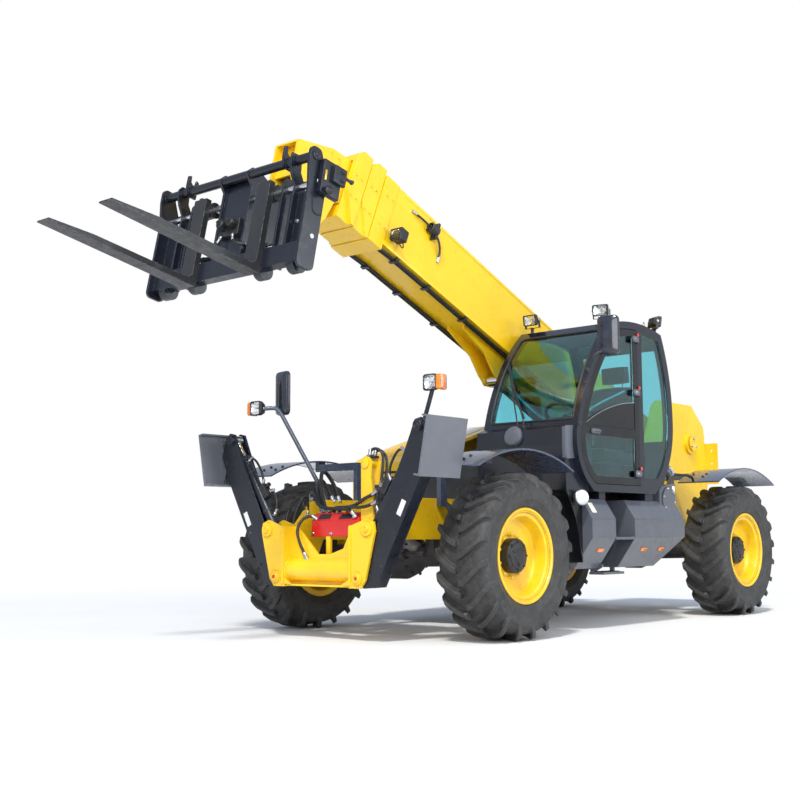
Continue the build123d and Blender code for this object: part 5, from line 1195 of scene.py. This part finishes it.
turned("gap_fittings", RED, GAP_FITTING, (0, 1, 0.2), (0.330, 0.460, 0.900), 24)
add("gap_plates", PLATE_PALE, plaque(0.050, 0.060, 0.003, 0.1), DATUM @ facing(LEFT, (0.430, 0.460, 0.920)))

# Fenders: bolts on the front half and a rolled outer edge

AXLES = (1.75, -1.75)
ARC_Z, ARC_RADIUS, RIM_LINE = 0.0165, 1.31346, 1.3075
for axle in AXLES:
    for s in (1, -1):
        for along in (0.395, 0.470):
            for y in (0.865, 0.995):
                z = ARC_Z + sqrt(ARC_RADIUS ** 2 - along * along)
                bolt("fender_bolts", (axle + along, y, z), (along, 0, 1.313), 0.0085, MIRRORED[s],
                     material=CAST)
        turns = [radians(90 - 26.2 + 52.4 * k / 12) for k in range(13)]
        pipe("fender_rims", FENDER, [(axle + RIM_LINE * cos(a), 1.196,
                                      ARC_Z + RIM_LINE * sin(a)) for a in turns],
             0.0075, 8, MIRRORED[s])

# Hood: louvres on its slope, pale top panel, latches and front slats

HOOD_Y = -0.800
HOOD_FALL = Vector((1.060, 0, -0.330)).normalized()
SMALL_PLATE = [(0, 1), (0.010, 1), (0.016, 0.85)]
POD_CAP = [(0, 0), (0.048, 0), (0.050, 0.006), (0.050, 0.026), (0.042, 0.032), (0, 0.034)]
for k in range(11):
    x = 0.30 + 0.055 * k
    z = 1.720 - (x + 0.12) * 0.330 / 1.060
    add("hood_louvres", YELLOW, rounded_box((0.030, 0.520, 0.014), 0.005, 2),
        DATUM @ facing(HOOD_FALL, (x, HOOD_Y, z + 0.004)), "hood")
add("hood_top_panel", WHITE, plaque(0.560, 0.300, 0.004, 0.1),
    DATUM @ facing((0.297, 0, 0.955), (0.075, HOOD_Y, 1.6605)), "hood")
for x in (-0.70, 0.60):
    plate("hood_latches", BLACK, (0.090, 0.045), SMALL_PLATE, 0.3, RIGHT, (x, -1.1805, 0.830), body="hood")
turned("pod_cap", BLACK, POD_CAP, RIGHT, (0.820, -1.1605, 0.640), 36)
for k in range(10):
    block("hood_slats", BLACK, (0.012, 0.560, 0.018), (1.002, HOOD_Y, 0.860 + 0.045 * k), 0.003, body="hood")

# Rear end: lamps, grille, tow pin and flange bolts

REAR = -2.56
BUMPER, TOW_X = REAR - 0.1502, REAR - 0.215
LAMP_STEPS = [(0, 1), (0.020, 1), (0.026, 0.9)]
ROUND_REFLECTOR = [(0, 0), (0.030, 0), (0.030, 0.006), (0.026, 0.009), (0, 0.009)]
TOW_PIN = [(0, -0.03), (0.019, -0.03), (0.019, 0.050), (0.030, 0.052), (0.030, 0.064), (0.010, 0.068),
           (0, 0.068)]
TOW_RING = ((0.0, 0.706), (0.026, 0.722), (0.030, 0.752), (0.0, 0.772), (-0.030, 0.752), (-0.026, 0.722),
            (0.0, 0.706))
for s in (1, -1):
    side = MIRRORED[s]
    plate("tail_lamps", RED_LENS, (0.150, 0.080), LAMP_STEPS, 0.25, BACK, (BUMPER, 0.480, 0.770), side)
    plate("tail_indicators", AMBER, (0.070, 0.080), LAMP_STEPS, 0.25, BACK, (BUMPER, 0.355, 0.770), side)
    block("tail_frames", BLACK, (0.014, 0.250, 0.096), (REAR - 0.150, 0.432, 0.770), frame=side)
    turned("rear_reflectors", RED_LENS, ROUND_REFLECTOR, BACK, (BUMPER, 0.560, 0.640), 28, side)
for k in range(9):
    block("rear_grille", STEEL, (0.018, 0.600, 0.014), (REAR - 0.006, 0, 0.960 + 0.050 * k))
for y in (-0.300, 0.300):
    block("rear_grille", STEEL, (0.024, 0.020, 0.450), (REAR - 0.006, y, 1.160))
turned("tow_pin", STEEL_BARE, TOW_PIN, UP, (TOW_X, 0, 0.640), 28)
pipe("tow_pin_ring", STEEL_BARE, [(TOW_X, y, z) for y, z in TOW_RING], 0.004)
for s in (1, -1):
    for k in range(3):
        bolt("flange_bolts", (REAR + 0.009, 0.515, 1.305 + 0.130 * k - 0.03), BACK, 0.009, MIRRORED[s])
for axle, s in zip(AXLES, (1, -1)):
    for k in range(10):
        a = radians(36 * k)
        bolt("axle_bolts", (axle + 0.146 * cos(a), 0.168 * s, 0.5843 + 0.146 * sin(a)), (0, s, 0),
             material=CAST)

# Every gathered piece becomes an object with its material slot

for name, (bm, material, body) in batches.items():
    piece(name, mesh_of(bm, name), material, body, 35)
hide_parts("head_lamps")
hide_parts("mirrors")
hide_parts("cab_lamps")
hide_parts("manifold_cover")

# Floor, world and lamps


def floor():
    bm = bmesh.new()
    bmesh.ops.create_circle(bm, cap_ends=True, segments=64, radius=120)
    mesh = mesh_of(bm, "floor")
    obj = bpy.data.objects.new("floor", mesh)
    scene.collection.objects.link(obj)
    obj.location = (0, 0, -0.0005)
    n = Nodes("floor_pale")
    geometry = n.add("ShaderNodeNewGeometry").outputs["Position"]
    length = n.add("ShaderNodeVectorMath", operation="LENGTH")
    n.link(geometry, length.inputs[0])
    far = n.ramp(length.outputs["Value"], 4.5, 9.0)
    path = n.add("ShaderNodeLightPath")
    seen = n.math("MAXIMUM", n.math("MAXIMUM", path.outputs["Is Camera Ray"], path.outputs["Is Glossy Ray"]),
                  path.outputs["Is Transmission Ray"])
    base = n.mix(n.ramp(n.noise(0.8, 4), 0.3, 0.7), (0.80, 0.80, 0.80), (0.83, 0.83, 0.83))
    diffuse = n.add("ShaderNodeBsdfDiffuse")
    n.link(base, diffuse.inputs["Color"])
    glow = n.add("ShaderNodeEmission")
    glow.inputs["Color"].default_value = (1, 1, 1, 1)
    mixer = n.add("ShaderNodeMixShader")
    n.link(n.math("MULTIPLY", far, seen), mixer.inputs[0])
    n.link(diffuse.outputs[0], mixer.inputs[1])
    n.link(glow.outputs[0], mixer.inputs[2])
    n.link(mixer.outputs[0], n.out.inputs["Surface"])
    mesh.materials.append(n.mat)


floor()

world = bpy.data.worlds.new("studio")
scene.world = world
world.use_nodes = True
tree = world.node_tree
tree.nodes.clear()
out = tree.nodes.new("ShaderNodeOutputWorld")
path = tree.nodes.new("ShaderNodeLightPath")
coord = tree.nodes.new("ShaderNodeTexCoord")
split = tree.nodes.new("ShaderNodeSeparateXYZ")
tree.links.new(coord.outputs["Generated"], split.inputs[0])
sky = tree.nodes.new("ShaderNodeMapRange")
sky.inputs["From Min"].default_value = -0.1
sky.inputs["From Max"].default_value = 0.9
tree.links.new(split.outputs["Z"], sky.inputs["Value"])
blend = tree.nodes.new("ShaderNodeMix")
blend.data_type = "RGBA"
blend.inputs[6].default_value = (0.95, 0.95, 0.95, 1)
blend.inputs[7].default_value = (0.62, 0.76, 1.0, 1)
tree.links.new(sky.outputs["Result"], blend.inputs[0])
fill = tree.nodes.new("ShaderNodeBackground")
fill.inputs["Strength"].default_value = 0.62
tree.links.new(blend.outputs[2], fill.inputs["Color"])
white = tree.nodes.new("ShaderNodeBackground")
white.inputs["Color"].default_value = (1, 1, 1, 1)
white.inputs["Strength"].default_value = 1.0
mixer = tree.nodes.new("ShaderNodeMixShader")
seen = tree.nodes.new("ShaderNodeMath")
seen.operation = "MAXIMUM"
tree.links.new(path.outputs["Is Camera Ray"], seen.inputs[0])
tree.links.new(path.outputs["Is Transmission Ray"], seen.inputs[1])
tree.links.new(seen.outputs[0], mixer.inputs[0])
tree.links.new(fill.outputs[0], mixer.inputs[1])
tree.links.new(white.outputs[0], mixer.inputs[2])
tree.links.new(mixer.outputs[0], out.inputs["Surface"])


def area_lamp(name, place, target, size, power, colour=(1, 1, 1)):
    data = bpy.data.lights.new(name, "AREA")
    data.shape = "RECTANGLE"
    data.size, data.size_y = size
    data.energy = power
    data.color = colour
    lamp = bpy.data.objects.new(name, data)
    scene.collection.objects.link(lamp)
    lamp.location = place
    lamp.rotation_mode = "QUATERNION"
    lamp.rotation_quaternion = (Vector(target) - Vector(place)).to_track_quat("-Z", "Y")


sun = bpy.data.lights.new("key", "SUN")
sun.energy = 2.6
sun.angle = radians(6)
sun.color = (1.0, 0.97, 0.92)
key = bpy.data.objects.new("key", sun)
scene.collection.objects.link(key)
key.rotation_mode = "QUATERNION"
key.rotation_quaternion = Vector((-0.55, -0.30, -0.80)).to_track_quat("-Z", "Y")
area_lamp("front_soft", (9, 9, 5), (0, 0, 1.5), (8, 6), 700)
area_lamp("left_soft", (-3, 10, 4), (-1, 0, 1.5), (7, 4), 350, (0.92, 0.96, 1.0))
